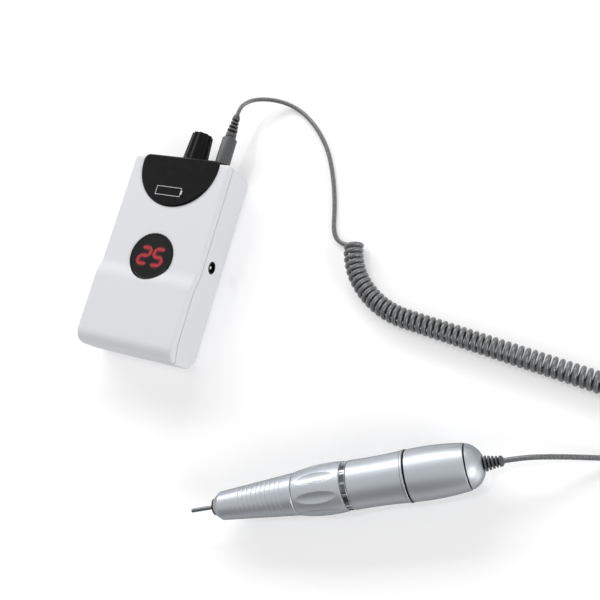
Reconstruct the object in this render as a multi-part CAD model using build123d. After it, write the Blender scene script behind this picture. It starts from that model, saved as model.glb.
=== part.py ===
from build123d import *
from math import atan2, cos, degrees, pi, radians, sin, sqrt, tan
import os

# Surgical micromotor: battery control box, plug, curly cord and handpiece, in millimetres.
# The box lies on its back: +X its right side, +Y its knob end, +Z out of its display.
# The origin is the middle of the box's back face.

# Control box housing
case_width = 74.0
case_length = 129.0
case_depth = 27.5
case_bulge = 2.5
bulge_y = -14.0
bulge_half = 6.5
top_front_round = 2.5
top_back_round = 6.0
foot_back_round = 9.0
foot_front_round = 9.0
seam_foot_run = 16.0
seam_foot_drop = 4.0
side_round = 2.4
wall = 2.2
seam_drop = 3.6
seam_groove = 0.5
lip_height = 1.0
lip_thickness = 0.9
fit_gap = 0.1
overrun = 2.0

# Housing screws and the posts that take them
post_side_inset = 5.4
post_top_inset = 26.5
post_cell_gap = 1.5
post_radius = 3.0
screw_radius = 1.3
screw_head_radius = 2.4
screw_head_height = 1.6
screw_length = 16.0
screw_head_sink = 6.0
cross_width = 0.7
cross_depth = 0.9

# Black D-shaped panel that wraps over the knob end
panel_side_gap = 8.0
panel_drop = 4.0
panel_corner_round = 4.0
panel_sink = 1.2
panel_rise = 1.2
panel_bevel = 1.0
panel_back_z = 5.0

# Display window, display block and its board
display_y = -2.5
lens_radius = 15.6
lens_rise = 0.6
lens_thickness = 1.8
lens_bevel = 0.4
lens_ledge = 1.6
digit_block = (25.2, 19.0, 8.0)
digit_gap = 0.2
display_board_size = (35.0, 27.0)
display_post_radius = 2.0
display_post_inset = 2.4
board_thickness = 1.6

# Main board, its stand-offs, screws and header
board_side_gap = 9.0
board_cell_gap = 8.5
board_top_gap = 16.5
board_z = 7.5
board_tab_half = 6.0
board_tab_gap = 2.6
standoff_radius = 2.6
standoff_inset = 4.0
small_screw_radius = 1.0
small_head_radius = 1.8
small_head_height = 1.2
small_screw_length = 4.5
header_size = (20.3, 2.5)
header_inset = 3.2

# Battery cells and the tray that holds them
cell_radius_share = 0.0713
cell_gap = 0.5
cell_end_gap = 2.3
tray_floor = 1.0
tray_height = 7.0
tray_end_gap = 2.8
tab_thickness = 0.3
tab_width = 8.0

# Speed control: potentiometer, nut, shaft and fluted knob
control_low_gap = 4.1
control_high_gap = 2.6
knob_x = 0.5
pot_thickness = 7.5
bush_radius = 3.5
bush_rise = 2.4
shaft_radius = 3.0
shaft_clearance = 0.05
shaft_depth = 6.0
shaft_rise = 15.0
pot_nut_flats = 9.0
pot_nut_thickness = 1.8
knob_base_radius = 8.6
knob_top_radius = 7.0
knob_height = 21.5
knob_gap = 0.4
knob_skirt = 1.8
knob_step = 0.35
knob_flutes = 10
flute_radius = 2.2
flute_depth = 0.8
knob_recess_radius = 5.6
knob_recess_depth = 2.4
knob_top_dish = 0.5
pointer_width = 0.8
pointer_depth = 0.35

# Output socket for the handpiece plug
plug_side_inset = 15.5
socket_body = (11.0, 11.0, 13.0)
socket_bush_radius = 3.8
socket_nut_radius = 5.2
socket_nut_height = 2.2
socket_nut_notches = 6
notch_width = 1.0
notch_depth = 0.4
pin_radius = 1.75
pin_length = 14.0
pin_clearance = 0.05
pin_tip = 1.2

# Charging socket in the right side
charge_y = 0.0
charge_body = (9.0, 11.0)
charge_board_gap = 6.0
charge_back_wall = 4.5
charge_ring_radius = 4.0
charge_bore_radius = 3.15
charge_pin_radius = 1.0
charge_pin_back = 1.0

# Plug on the cord, with its ribbed boot
cord_diameter = 2.8
plug_radius = 4.9
plug_length = 20.0
plug_shoulder = 1.2
boot_base_radius = 3.5
boot_tip_radius = 2.3
plug_boot_length = 16.2
boot_ribs = 7
boot_groove_depth = 0.8

# Handpiece, measured along its axis from the nose
handpiece_nose = (85.2, -137.1)
handpiece_heading = 23.2
nose_ring_radius = 4.7
nose_ring_bore = 3.2
nose_ring_depth = 2.2
nose_front = 0.8
nose_front_radius = 5.0
nose_bevel_end = 5.0
nose_bevel_radius = 8.0
nose_end = 51.2
nose_end_radius = 11.7
nose_bore = 3.4
nose_groove_first = 20.0
nose_groove_pitch = 4.0
nose_grooves = 8
nose_groove_depth = 0.3
sleeve_start = 51.35
sleeve_crest = 68.0
sleeve_end = 79.8
sleeve_crest_radius = 13.85
sleeve_end_radius = 13.3
scallops = 8
scallop_x = 66.5
scallop_radius = 9.0
scallop_depth = 0.62
scallop_tilt = 2.4
index_start = 80.0
index_end = 83.2
index_radius = 13.15
index_notches = 18
index_notch_width = 1.9
index_notch_depth = 0.35
barrel_start = 83.4
barrel_waist_x = 97.0
barrel_waist_radius = 13.1
barrel_end = 113.4
barrel_radius = 13.7
seam_ring_end = 115.4
seam_ring_radius = 14.0
rear_crest = 130.0
rear_crest_radius = 13.8
rear_end = 146.4
rear_end_radius = 12.2
cap_groove = 0.6
cap_groove_radius = 11.3
cap_rim_radius = 11.9
cap_mid_x = 151.6
cap_mid_radius = 9.0
cap_end = 154.2
cap_end_radius = 4.9
cap_spigot = 5.4
cap_cavity_radius = 9.0
cap_wall = 3.6
cap_hole_radius = 3.0
grip_boot_base = 4.2
grip_boot_tip = 2.5
grip_boot_length = 10.5
grip_boot_ribs = 5
boot_flange_radius = 4.6
boot_flange_length = 1.6

# Tool spindle inside the nose
shank_radius = 1.175
shank_free = 15.0
shank_held = 19.0
shank_round = 0.45
shank_clearance = 0.02
collet_radius = 2.1
collet_clearance = 0.05
collet_front = 1.0
collet_head_radius = 2.9
collet_head_end = 2.6
collet_slits = 3
collet_slit_width = 0.4
collet_slit_end = 16.0
drawbar_end = 64.0
spindle_front = 2.8
spindle_radius = 3.0
spindle_end = 72.0
spindle_flange = 3.9
spindle_flange_length = 1.0
spindle_nut_radius = 4.6
spindle_nut_length = 1.5
bearing_radius = 6.0
bearing_width = 4.0
bearing_outer_wall = 1.1
bearing_inner_wall = 0.9
bearing_play = 0.06
bearing_shield_sink = 0.3
front_bearing_start = 7.0
rear_bearing_start = 42.5
spacer_wall = 1.4
grip_tube_radius = 9.5
grip_tube_bore = 6.2
grip_tube_shoulder = 5.2
grip_tube_lip = 1.0
grip_tube_end = 86.0
sleeve_clearance = 0.06
chuck_travel = 1.0
collar_start = 60.6
collar_length = 2.8
collar_radius = 5.6
cross_pin_radius = 0.8
cross_pin_length = 11.0
spring_turns = 4
spring_sides = 4
spring_wire = 1.1
spring_radius = 4.4
coupling_start = 68.0
coupling_end = 80.0
coupling_radius = 5.0

# Motor inside the barrel
can_radius = 11.0
can_wall = 1.0
can_start = 86.0
can_end = 141.0
can_lip = 0.5
end_plate_start = 134.5
shaft_start = 73.0
shaft_end = 139.6
magnet_start = 92.0
magnet_length = 30.0
magnet_wall = 2.0
magnet_span = 150.0
core_start = 94.0
core_length = 26.0
core_radius = 7.7
core_slots = 7
slot_radius = 1.35
slot_circle = 5.7
slot_mouth = 0.8
winding_overhang = 3.0
winding_radius = 7.0
winding_bore = 3.9
commutator_start = 125.5
commutator_length = 6.0
commutator_radius = 4.6
holder_start = 124.8
holder_length = 7.6
holder_bore = 5.2
brush_size = (4.0, 3.0, 3.0)
brush_play = 0.05
brush_spring_radius = 1.2
brush_spring_wire = 0.4

# Curly stretch of the cord: its axis is two arcs and a straight, seen from above
coil_turns = 50
coil_radius = 4.6
coil_sides = 4
coil_start = (122.2, 31.8)
coil_heading = -82.0
coil_arcs = ((42.0, 32.0), (52.0, 42.5))
coil_straight = 121.0
coil_height = 6.05

# Free stretches of the cord, as route points chosen by hand
lead_points = [
    (21.5, 108.9, 14.5),
    (24.2, 114.4, 13.2),
    (29.6, 118.6, 10.4),
    (37.4, 121.0, 6.8),
    (46.8, 121.2, 3.6),
    (57.0, 118.2, 1.6),
    (67.2, 111.8, 1.5),
    (76.9, 103.0, 1.5),
    (86.3, 91.2, 1.5),
    (93.6, 76.6, 1.5),
    (98.8, 62.6, 1.5),
    (102.2, 50.6, 1.5),
    (104.2, 40.9, 1.5),
    (107.6, 34.6, 1.5),
    (113.4, 31.68, 1.45),
]
tail_points = [
    (287.37, -12.83, 1.45),
    (293.4, -2.2, 1.5),
    (302.6, 3.6, 1.5),
    (312.8, 1.6, 1.5),
    (319.2, -7.0, 1.5),
    (321.0, -19.0, 1.5),
    (318.6, -32.0, 1.5),
    (312.6, -43.6, 1.5),
    (303.0, -51.6, 1.6),
    (291.6, -56.0, 2.2),
    (279.4, -59.0, 4.2),
    (267.2, -61.9, 7.4),
    (255.4, -65.2, 11.6),
    (244.85, -68.67, 14.0),
]

# Sizes that follow from the ones above
half_width = case_width / 2
top_y = case_length / 2
bottom_y = -case_length / 2
front_low = case_depth + case_bulge
panel_top = top_y + panel_rise
inner_top = top_y - wall
post_x = half_width - post_side_inset
panel_radius = half_width - panel_side_gap
plug_x = half_width - plug_side_inset
cell_radius = case_length * cell_radius_share
cell_pitch = 2 * cell_radius + cell_gap
cell_length = 2 * (half_width - wall - cell_end_gap)
tray_half_length = half_width - wall - tray_end_gap
cell_low_y = bottom_y + wall + tray_floor + cell_radius
cell_z = wall + tray_floor + cell_radius
cells_end = cell_low_y + cell_pitch + cell_radius
post_low_y = cells_end + post_cell_gap + post_radius
post_top_y = top_y - post_top_inset
board_half_width = half_width - board_side_gap
board_low_y = cells_end + board_cell_gap
board_high_y = top_y - board_top_gap
board_tab_x = half_width - board_tab_gap
board_top = board_z + board_thickness
pot_radius = (case_depth - 2 * wall - control_low_gap - control_high_gap) / 2
control_z = wall + control_low_gap + pot_radius
lens_top = case_depth + lens_rise
lens_bottom = lens_top - lens_thickness
digit_top = case_depth - wall - digit_gap
display_board_top = digit_top - digit_block[2]
charge_z = board_top + charge_body[1] / 2
charge_length = half_width - wall - charge_board_gap - display_board_size[0] / 2
charge_bore_depth = wall + charge_length - charge_back_wall
plug_start = panel_top + socket_nut_height
plug_end = plug_start + plug_length
plug_boot_end = plug_end + plug_boot_length
cord_radius = cord_diameter / 2
grip_boot_end = cap_end + grip_boot_length
housing = Pos(*handpiece_nose, seam_ring_radius) * Rot(0, 0, handpiece_heading)
control_face = Plane(origin=(0, 0, control_z), x_dir=(1, 0, 0), z_dir=(0, 1, 0))


# Shared shapes
def barrel(radius, start, end, bore=0):
    """A plain turned ring or rod along the handpiece's axis."""
    rod = Plane.YZ.offset(start) * Circle(radius)
    if bore:
        rod -= Plane.YZ.offset(start) * Circle(bore)
    return extrude(rod, end - start)


def turned(edges):
    """Turns an outline, given as edges above the axis, about the handpiece's axis."""
    first, last = edges[0] @ 0, edges[-1] @ 1
    closing = [Line(last, (last.X, 0)), Line((last.X, 0), (first.X, 0)), Line((first.X, 0), first)]
    return revolve(make_face(edges + closing), Axis.X)


def upright(radius, x, start, end, bore=0):
    """A round piece along +Y at the height of the knob and the plug."""
    disc = control_face.offset(start) * Pos(x, 0) * Circle(radius)
    if bore:
        disc -= control_face.offset(start) * Pos(x, 0) * Circle(bore)
    return extrude(disc, end - start)


def block(size, low_corner):
    """A box given by its size and its lowest corner."""
    return Pos(*low_corner) * Box(*size, align=(Align.MIN, Align.MIN, Align.MIN))


def post(radius, x, y, low, high):
    """A round post between two heights."""
    return Pos(x, y, low) * Cylinder(radius, high - low, align=(Align.CENTER, Align.CENTER, Align.MIN))


def biarc(start, start_way, end, end_way):
    """Two tangent arcs from one point and direction to another."""
    across = end - start
    both = start_way + end_way
    spread = 2 * (1 - start_way.dot(end_way))
    reach = across.dot(both)
    length = (sqrt(reach * reach + spread * across.dot(across)) - reach) / spread
    middle = (start + end + (start_way - end_way) * length) / 2
    back = TangentArc(end, middle, tangent=-end_way)
    return [TangentArc(start, middle, tangent=start_way), Edge.make_three_point_arc(middle, back @ 0.5, end)]


def wound(points, ways, lead_in, section_radius, sides):
    """One unbroken wire through points with directions, straight at both ends."""
    edges = [Line(points[0] - ways[0] * lead_in, points[0])]
    for i in range(len(points) - 1):
        edges += biarc(points[i], ways[i], points[i + 1], ways[i + 1])
    edges.append(Line(points[-1], points[-1] + ways[-1] * lead_in))
    path = Wire(edges)
    section = Plane(origin=path @ 0, z_dir=ways[0]) * RegularPolygon(section_radius, sides)
    return sweep(section, path=path, clean=False)


def coil_spring(axis_start, way, side, turns, pitch, radius, wire):
    """A square-wire compression spring along an axis."""
    steps = [i / 2 for i in range(2 * turns + 1)]
    other = way.cross(side)
    points, ways = [], []
    for step in steps:
        angle = 2 * pi * step
        out = side * cos(angle) + other * sin(angle)
        along = (other * cos(angle) - side * sin(angle)) * (2 * pi * radius) + way * pitch
        points.append(axis_start + out * radius + way * (pitch * step))
        ways.append(along.normalized())
    return wound(points, ways, wire / 2, wire / 2 / cos(pi / spring_sides), spring_sides)


# Control box
def front_line(drop, start_y, foot_run, foot_drop):
    """The front outline, lowered by a distance, from the knob end to the foot."""
    high, low = case_depth - drop, front_low - drop
    middle = (bulge_y, (high + low) / 2)
    return [
        Line((start_y, high), (bulge_y + bulge_half, high)),
        TangentArc((bulge_y + bulge_half, high), middle, tangent=(-1, 0)),
        TangentArc((bulge_y - bulge_half, low), middle, tangent=(1, 0)),
        Line((bulge_y - bulge_half, low), (bottom_y + foot_run, low)),
        TangentArc((bottom_y + foot_run, low), (bottom_y, low - foot_drop), tangent=(-1, 0)),
    ]


def case_outline():
    """The side view of the box as a face."""
    edges = front_line(0, top_y - top_front_round, foot_front_round, foot_front_round)
    edges.append(Line((bottom_y, front_low - foot_front_round), (bottom_y, foot_back_round)))
    edges.append(TangentArc((bottom_y, foot_back_round), (bottom_y + foot_back_round, 0), tangent=(0, -1)))
    edges.append(Line((bottom_y + foot_back_round, 0), (top_y - top_back_round, 0)))
    edges.append(TangentArc((top_y - top_back_round, 0), (top_y, top_back_round), tangent=(1, 0)))
    edges.append(Line((top_y, top_back_round), (top_y, case_depth - top_front_round)))
    start, end = (top_y, case_depth - top_front_round), (top_y - top_front_round, case_depth)
    edges.append(TangentArc(start, end, tangent=(0, 1)))
    return make_face(edges)


def case_form(inset):
    """The box's outer form, drawn in by a distance all round."""
    outline = case_outline()
    if inset:
        outline = offset(outline, -inset)
    form = extrude(Plane.YZ.offset(inset - half_width) * outline, 2 * (half_width - inset))
    if inset < side_round:
        form = fillet(form.edges().filter_by(Plane.YZ), side_round - inset)
    return form


def above_seam(lift):
    """The space in front of the seam, or of the seam moved up by a distance."""
    out = top_y + overrun
    edges = front_line(seam_drop - lift, out, seam_foot_run, seam_foot_drop)
    first, last = edges[0] @ 0, edges[-1] @ 1
    low, high = bottom_y - overrun, front_low + overrun
    rest = [
        Line(last, (low, last.Y)),
        Line((low, last.Y), (low, high)),
        Line((low, high), (out, high)),
        Line((out, high), first),
    ]
    reach = half_width + overrun
    return extrude(Plane.YZ.offset(-reach) * make_face(edges + rest), 2 * reach)


def top_panel():
    """D-shaped black panel with a bevelled rim and rounded corners, wrapped over the knob end."""
    low, high = case_depth - panel_sink, case_depth + panel_rise
    disc = Pos(0, top_y - panel_drop) * Circle(panel_radius)
    shape = disc & Pos(0, panel_top - case_length / 2) * Rectangle(case_width, case_length)
    corners = shape.vertices().group_by(Axis.Y)[-1]
    shape = fillet(corners, panel_corner_round)
    strip = shape & Pos(0, top_y) * Rectangle(case_width, 2 * panel_sink)
    plate = extrude(Pos(0, 0, low) * shape, high - low)
    plate = chamfer(plate.faces().sort_by(Axis.Z)[-1].edges(), panel_bevel)
    whole = plate + extrude(Pos(0, 0, panel_back_z) * strip, low - panel_back_z)
    whole -= upright(bush_radius + fit_gap, knob_x, top_y - wall, panel_top + overrun)
    whole -= upright(socket_bush_radius + fit_gap, plug_x, top_y - wall, panel_top + overrun)
    return whole


def post_places():
    """Where the housing screws stand."""
    return [(x, y) for y in (post_low_y, post_top_y) for x in (-post_x, post_x)]


def standoff_places():
    """Where the main board is screwed down."""
    x = board_half_width - standoff_inset
    rows = (board_low_y + standoff_inset, board_high_y - standoff_inset)
    return [(side * x, y) for y in rows for side in (-1, 1)]


def display_post_places():
    """Where the display board is screwed to the cover."""
    x = display_board_size[0] / 2 - display_post_inset
    y = display_board_size[1] / 2 - display_post_inset
    return [(sx * x, display_y + sy * y) for sx in (-1, 1) for sy in (-1, 1)]


def build_case():
    """Rear shell and front cover, with posts, lip joint, openings and screws."""
    outer, inner = case_form(0), case_form(wall)
    seam_space = above_seam(0)
    shell = outer - inner
    front = shell & seam_space
    rear = shell - seam_space
    lip_space = above_seam(0) - above_seam(lip_height)
    rear += (case_form(wall - lip_thickness) - inner) & lip_space
    relief = above_seam(0) - above_seam(lip_height + fit_gap)
    front -= (case_form(wall - lip_thickness - fit_gap) - inner) & relief
    rear -= (outer - case_form(seam_groove)) & (above_seam(-seam_groove) - above_seam(0))

    split = control_z
    for x, y in post_places():
        rear += post(post_radius, x, y, wall / 2, split) & inner
        thread = post(screw_radius, x, y, split, screw_head_sink + screw_length)
        front += (post(post_radius, x, y, split, front_low) & inner) - thread
        rear -= post(screw_head_radius + fit_gap, x, y, -overrun, screw_head_sink)
        rear -= post(screw_radius + fit_gap, x, y, 0, split + overrun)
    for x, y in standoff_places():
        stand = post(standoff_radius, x, y, wall / 2, board_z)
        rear += stand - post(small_screw_radius, x, y, board_top - small_screw_length, board_z)
    for x, y in display_post_places():
        low = display_board_top
        stand = post(display_post_radius, x, y, low, case_depth - wall / 2)
        front += stand - post(small_screw_radius, x, y, low, low + small_screw_length)

    panel = top_panel()
    window = Pos(0, display_y, 0)
    front -= window * post(lens_radius + fit_gap, 0, 0, lens_bottom, front_low + overrun)
    front -= window * post(lens_radius - lens_ledge, 0, 0, digit_top, front_low)
    for radius, x in ((bush_radius, knob_x), (socket_bush_radius, plug_x)):
        rear -= upright(radius + fit_gap, x, inner_top - overrun, panel_top)
        panel_holes = upright(radius + overrun, x, top_y - panel_sink, panel_top)
        front -= panel_holes
        rear -= panel_holes
    front -= panel
    rear -= panel
    port = barrel(charge_ring_radius + fit_gap, half_width - wall - overrun, half_width + overrun)
    rear -= Pos(0, charge_y, charge_z) * port
    return {"rear_shell": rear, "front_cover": front, "top_panel": panel}


def pan_screw(radius, length, head_radius, head_height):
    """A round-headed screw, head down, standing on zero."""
    return post(head_radius, 0, 0, 0, head_height) + post(radius, 0, 0, head_height, length)


def build_screws():
    """Housing screws from the back, and the small ones that hold both boards."""
    housing_screw = pan_screw(screw_radius, screw_length, screw_head_radius, screw_head_height)
    for turn in (0, 90):
        size = (2 * screw_radius, cross_width, cross_depth)
        housing_screw -= Rot(0, 0, turn) * block(size, (-screw_radius, -cross_width / 2, 0))
    low = screw_head_sink - screw_head_height
    small = pan_screw(small_screw_radius, small_screw_length, small_head_radius, small_head_height)
    down = Rot(180, 0, 0) * small
    under = display_board_top - board_thickness - small_head_height
    boards = [Pos(x, y, board_top + small_head_height) * down for x, y in standoff_places()]
    boards += [Pos(x, y, under) * small for x, y in display_post_places()]
    return {
        "housing_screws": [Pos(x, y, low) * housing_screw for x, y in post_places()],
        "board_screws": boards,
    }


def build_display():
    """Window, two-digit block, its board and the header down to the main board."""
    lens = post(lens_radius, 0, display_y, lens_bottom, lens_top)
    lens = chamfer(lens.edges().sort_by(Axis.Z)[-1], lens_bevel)
    width, depth, height = digit_block
    digits = block(digit_block, (-width / 2, display_y - depth / 2, display_board_top))
    board_width, board_depth = display_board_size
    low = display_board_top - board_thickness
    corner = (-board_width / 2, display_y - board_depth / 2, low)
    board = block((board_width, board_depth, board_thickness), corner)
    for x, y in display_post_places():
        board -= post(small_screw_radius + fit_gap, x, y, low, display_board_top)
    header_y = display_y + board_depth / 2 - header_inset
    corner = (-header_size[0] / 2, header_y - header_size[1] / 2, board_top)
    header = block((*header_size, low - board_top), corner)
    return {"display_lens": lens, "digit_block": digits, "display_board": board, "board_header": header}


def build_main_board():
    """Main circuit board with a tab that carries the charging socket."""
    size = (2 * board_half_width, board_high_y - board_low_y, board_thickness)
    board = block(size, (-board_half_width, board_low_y, board_z))
    board += block(
        (board_tab_x, 2 * board_tab_half, board_thickness), (0, charge_y - board_tab_half, board_z)
    )
    for x, y in standoff_places():
        board -= post(small_screw_radius + fit_gap, x, y, board_z, board_top)
    return {"main_board": board}


def build_battery():
    """Two cells side by side, their connecting tabs and the tray."""
    cells, tabs = [], []
    tray = block(
        (2 * tray_half_length, 2 * cell_pitch, tray_height),
        (-tray_half_length, cell_low_y - cell_radius - tray_floor, wall),
    ) & case_form(wall)
    for i in range(2):
        y = cell_low_y + i * cell_pitch
        place = Pos(-cell_length / 2, y, cell_z)
        cells.append(place * barrel(cell_radius, 0, cell_length))
        tray -= Pos(-tray_half_length - overrun, y, cell_z) * barrel(
            cell_radius, 0, 2 * (tray_half_length + overrun)
        )
    for side in (-1, 1):
        x = side * cell_length / 2 - (tab_thickness if side < 0 else 0)
        size = (tab_thickness, cell_pitch + tab_width, tab_width)
        tabs.append(block(size, (x, cell_low_y - tab_width / 2, cell_z - tab_width / 2)))
    return {"battery_cells": cells, "battery_tabs": tabs, "battery_tray": tray}


def fluted_knob():
    """Tapered knob with a skirt, round flutes, a pointer line and a dished top."""
    base = panel_top + knob_gap
    top = base + knob_height
    radius = knob_base_radius - knob_step
    height = knob_height - knob_skirt
    lean = degrees(atan2(radius - knob_top_radius, height))
    stand = Location(control_face.offset(base + knob_skirt + height / 2)) * Pos(knob_x, 0, 0)
    knob = stand * Cone(radius, knob_top_radius, height)
    middle = (radius + knob_top_radius) / 2 - flute_depth + flute_radius
    cutter = Pos(middle, 0, 0) * Rot(0, -lean, 0) * Cylinder(flute_radius, 2 * height)
    for i in range(knob_flutes):
        knob -= stand * Rot(0, 0, (i + 1 / 2) * 360 / knob_flutes) * cutter
    knob += upright(knob_base_radius, knob_x, base, base + knob_skirt)
    knob -= upright(knob_recess_radius, knob_x, base, base + knob_recess_depth)
    knob -= upright(shaft_radius, knob_x, base, panel_top + shaft_rise)
    knob -= upright(knob_top_radius - flute_depth - knob_top_dish, knob_x, top - knob_top_dish, top)
    size = (pointer_width, pointer_depth + overrun, knob_top_radius)
    return knob - block(size, (knob_x - pointer_width / 2, top - knob_top_dish - pointer_depth, control_z))


def build_speed_control():
    """Potentiometer, its nut, its shaft and the knob."""
    seat = inner_top
    pot = upright(pot_radius, knob_x, seat - pot_thickness, seat)
    pot += upright(bush_radius, knob_x, seat, panel_top + bush_rise)
    pot -= upright(shaft_radius + shaft_clearance, knob_x, seat - shaft_depth, panel_top + bush_rise)
    place = control_face.offset(panel_top) * Pos(knob_x, 0)
    nut = extrude(place * RegularPolygon(pot_nut_flats / 2, 6, major_radius=False), pot_nut_thickness)
    nut -= upright(bush_radius, knob_x, panel_top, panel_top + pot_nut_thickness)
    shaft = upright(shaft_radius, knob_x, seat - shaft_depth + knob_gap, panel_top + shaft_rise)
    return {"potentiometer": pot, "pot_nut": nut, "pot_shaft": shaft, "speed_knob": fluted_knob()}


def build_output_socket():
    """Socket that takes the handpiece plug, with its notched ring nut."""
    width, height, depth = socket_body
    body = block(
        (width, depth, height), (plug_x - width / 2, inner_top - depth, control_z - height / 2)
    )
    body += upright(socket_bush_radius, plug_x, inner_top, panel_top + socket_nut_height)
    body -= upright(
        pin_radius + pin_clearance, plug_x, plug_start - pin_length - pin_clearance, plug_start
    )
    nut = upright(socket_nut_radius, plug_x, panel_top, plug_start, socket_bush_radius)
    for i in range(socket_nut_notches):
        turn = Rot(0, 0, i * 360 / socket_nut_notches)
        spot = control_face.offset(panel_top + notch_depth) * Pos(plug_x, 0)
        cut = turn * Pos(socket_nut_radius, 0) * Rectangle(2 * notch_depth, notch_width)
        nut -= extrude(spot * cut, socket_nut_height)
    return {"output_socket": body, "socket_nut": nut}


def build_charge_socket():
    """Round charging socket in the right side, with its centre pin."""
    width, height = charge_body
    inside = half_width - wall
    corner = (inside - charge_length, charge_y - width / 2, charge_z - height / 2)
    body = block((charge_length, width, height), corner)
    axis = Pos(0, charge_y, charge_z)
    body += axis * barrel(charge_ring_radius, inside, half_width)
    body -= axis * barrel(charge_bore_radius, half_width - charge_bore_depth, half_width)
    pin = axis * barrel(charge_pin_radius, half_width - charge_bore_depth, half_width - charge_pin_back)
    return {"charge_socket": body, "charge_pin": pin}


# Plug and boots on the cord
def ribbed_boot(base_radius, tip_radius, length, ribs):
    """A tapered strain relief along +X from zero, with ring grooves between its ribs."""
    pitch = length / (ribs + 1)
    body = turned([Line((0, base_radius), (length, tip_radius))])
    for i in range(ribs):
        start = pitch * (i + 0.5)
        radius = base_radius + (tip_radius - base_radius) * (start + pitch / 4) / length
        body -= barrel(base_radius + overrun, start, start + pitch / 2, radius - boot_groove_depth)
    return body


def build_plug():
    """Moulded plug in the output socket, with its metal pin and boot."""
    stand = Pos(plug_x, 0, control_z) * Rot(0, 0, 90)
    body = turned(
        [
            Line((plug_start, plug_radius), (plug_end - plug_shoulder, plug_radius)),
            Line((plug_end - plug_shoulder, plug_radius), (plug_end, plug_radius - plug_shoulder)),
        ]
    )
    tip = plug_start - pin_length
    pin = turned(
        [
            Line((tip, pin_radius / 2), (tip + pin_tip, pin_radius)),
            Line((tip + pin_tip, pin_radius), (plug_start, pin_radius)),
        ]
    )
    boot = Pos(plug_end, 0, 0) * ribbed_boot(boot_base_radius, boot_tip_radius, plug_boot_length, boot_ribs)
    return {"plug_body": stand * body, "plug_pin": stand * pin, "plug_boot": stand * boot}


# Cord
def coil_axis(distance):
    """Place, direction and left side of the coil's axis at a distance along it."""
    heading = radians(coil_heading)
    place = Vector(*coil_start, coil_height)
    for radius, sweep_angle in coil_arcs:
        run = min(distance, radius * radians(sweep_angle))
        left = Vector(-sin(heading), cos(heading), 0)
        centre = place + left * radius
        heading += run / radius
        left = Vector(-sin(heading), cos(heading), 0)
        place = centre - left * radius
        distance -= run
        if distance <= 0:
            return place, Vector(cos(heading), sin(heading), 0), left, 1 / radius
    way = Vector(cos(heading), sin(heading), 0)
    return place + way * distance, way, Vector(-sin(heading), cos(heading), 0), 0


def coil_length():
    """Length of the coil's axis."""
    return sum(radius * radians(sweep_angle) for radius, sweep_angle in coil_arcs) + coil_straight


def coil_point(turn):
    """Point and direction of the wire after a number of turns."""
    length = coil_length()
    place, way, left, bend = coil_axis(length * turn / coil_turns)
    angle = 2 * pi * turn - pi / 2
    rate = 2 * pi * coil_turns / length
    up = Vector(0, 0, 1)
    point = place + (left * cos(angle) + up * sin(angle)) * coil_radius
    travel = way * (1 - bend * coil_radius * cos(angle))
    travel += (up * cos(angle) - left * sin(angle)) * (coil_radius * rate)
    return point, travel.normalized()


def least_coil_gap():
    """Smallest gap between neighbouring turns, measured on points."""
    steps = 16
    points = [coil_point(i / steps)[0] for i in range(coil_turns * steps + 1)]
    gap = min(
        (points[i] - points[j]).length
        for i in range(len(points))
        for j in range(i + steps * 3 // 4, min(i + steps * 5 // 4 + 1, len(points)))
    )
    return gap - cord_diameter


def cord_tube(name, points):
    """A round tube along straight runs joined by tangent arcs."""
    route = [Vector(*p) for p in points]
    runs = [(route[i + 1] - route[i]) for i in range(len(route) - 1)]
    radii = []
    for before, after in zip(runs, runs[1:]):
        shorter = min(before.length, after.length)
        radii.append(0.45 * shorter / tan(radians(before.get_angle(after)) / 2))
    print(name, "arc radii", [round(r, 1) for r in radii])
    path = FilletPolyline(*route, radius=radii)
    tube = sweep(Plane(origin=path @ 0, z_dir=path % 0) * Circle(cord_radius), path=path)
    expected = pi * cord_radius**2 * path.length
    print(name, "volume", round(tube.volume, 1), "section x length", round(expected, 1))
    return tube, path.length


def build_cord():
    """Free lead from the plug, curly stretch, and free tail to the handpiece."""
    steps = [i / 2 for i in range(2 * coil_turns + 1)]
    pairs = [coil_point(step) for step in steps]
    points, ways = [p for p, _ in pairs], [w for _, w in pairs]
    coil = wound(points, ways, cord_diameter, cord_radius, coil_sides)
    coil_in = points[0] - ways[0] * cord_diameter
    coil_out = points[-1] + ways[-1] * cord_diameter
    print("coil in", coil_in, "out", coil_out, "least gap", round(least_coil_gap(), 2))
    boot_tip = (housing * Pos(grip_boot_end, 0, 0)).position
    lead, lead_length = cord_tube("lead", [(plug_x, plug_boot_end, control_z), *lead_points, coil_in])
    tail, tail_length = cord_tube("tail", [coil_out, *tail_points, boot_tip])
    turn_length = coil_length() / coil_turns
    wire = coil_turns * sqrt((2 * pi * coil_radius) ** 2 + turn_length**2) + 2 * cord_diameter
    print("cord length", round(lead_length + wire + tail_length), "mm, coil", round(wire))
    return {"cord_lead": lead, "cord_coil": coil, "cord_tail": tail}


# Handpiece outside
def nose_cone():
    """Tapered nose with a bevelled front, ring grooves and bearing bore."""
    slope = (nose_end_radius - nose_bevel_radius) / (nose_end - nose_bevel_end)
    outline = [(nose_front, nose_front_radius), (nose_bevel_end, nose_bevel_radius)]
    for i in range(nose_grooves):
        x = nose_groove_first + i * nose_groove_pitch
        for side in (-1, 0, 1):
            edge_x = x + side * nose_groove_depth
            radius = nose_bevel_radius + slope * (edge_x - nose_bevel_end)
            outline.append((edge_x, radius if side else radius - nose_groove_depth))
    outline.append((nose_end, nose_end_radius))
    cone = turned([Line(a, b) for a, b in zip(outline, outline[1:])])
    cone -= barrel(nose_ring_radius, 0, nose_ring_depth)
    cone -= barrel(nose_bore, 0, front_bearing_start)
    cone -= barrel(bearing_radius, front_bearing_start, nose_end)
    cone -= barrel(grip_tube_radius, rear_bearing_start + bearing_width, nose_end)
    return cone


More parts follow.
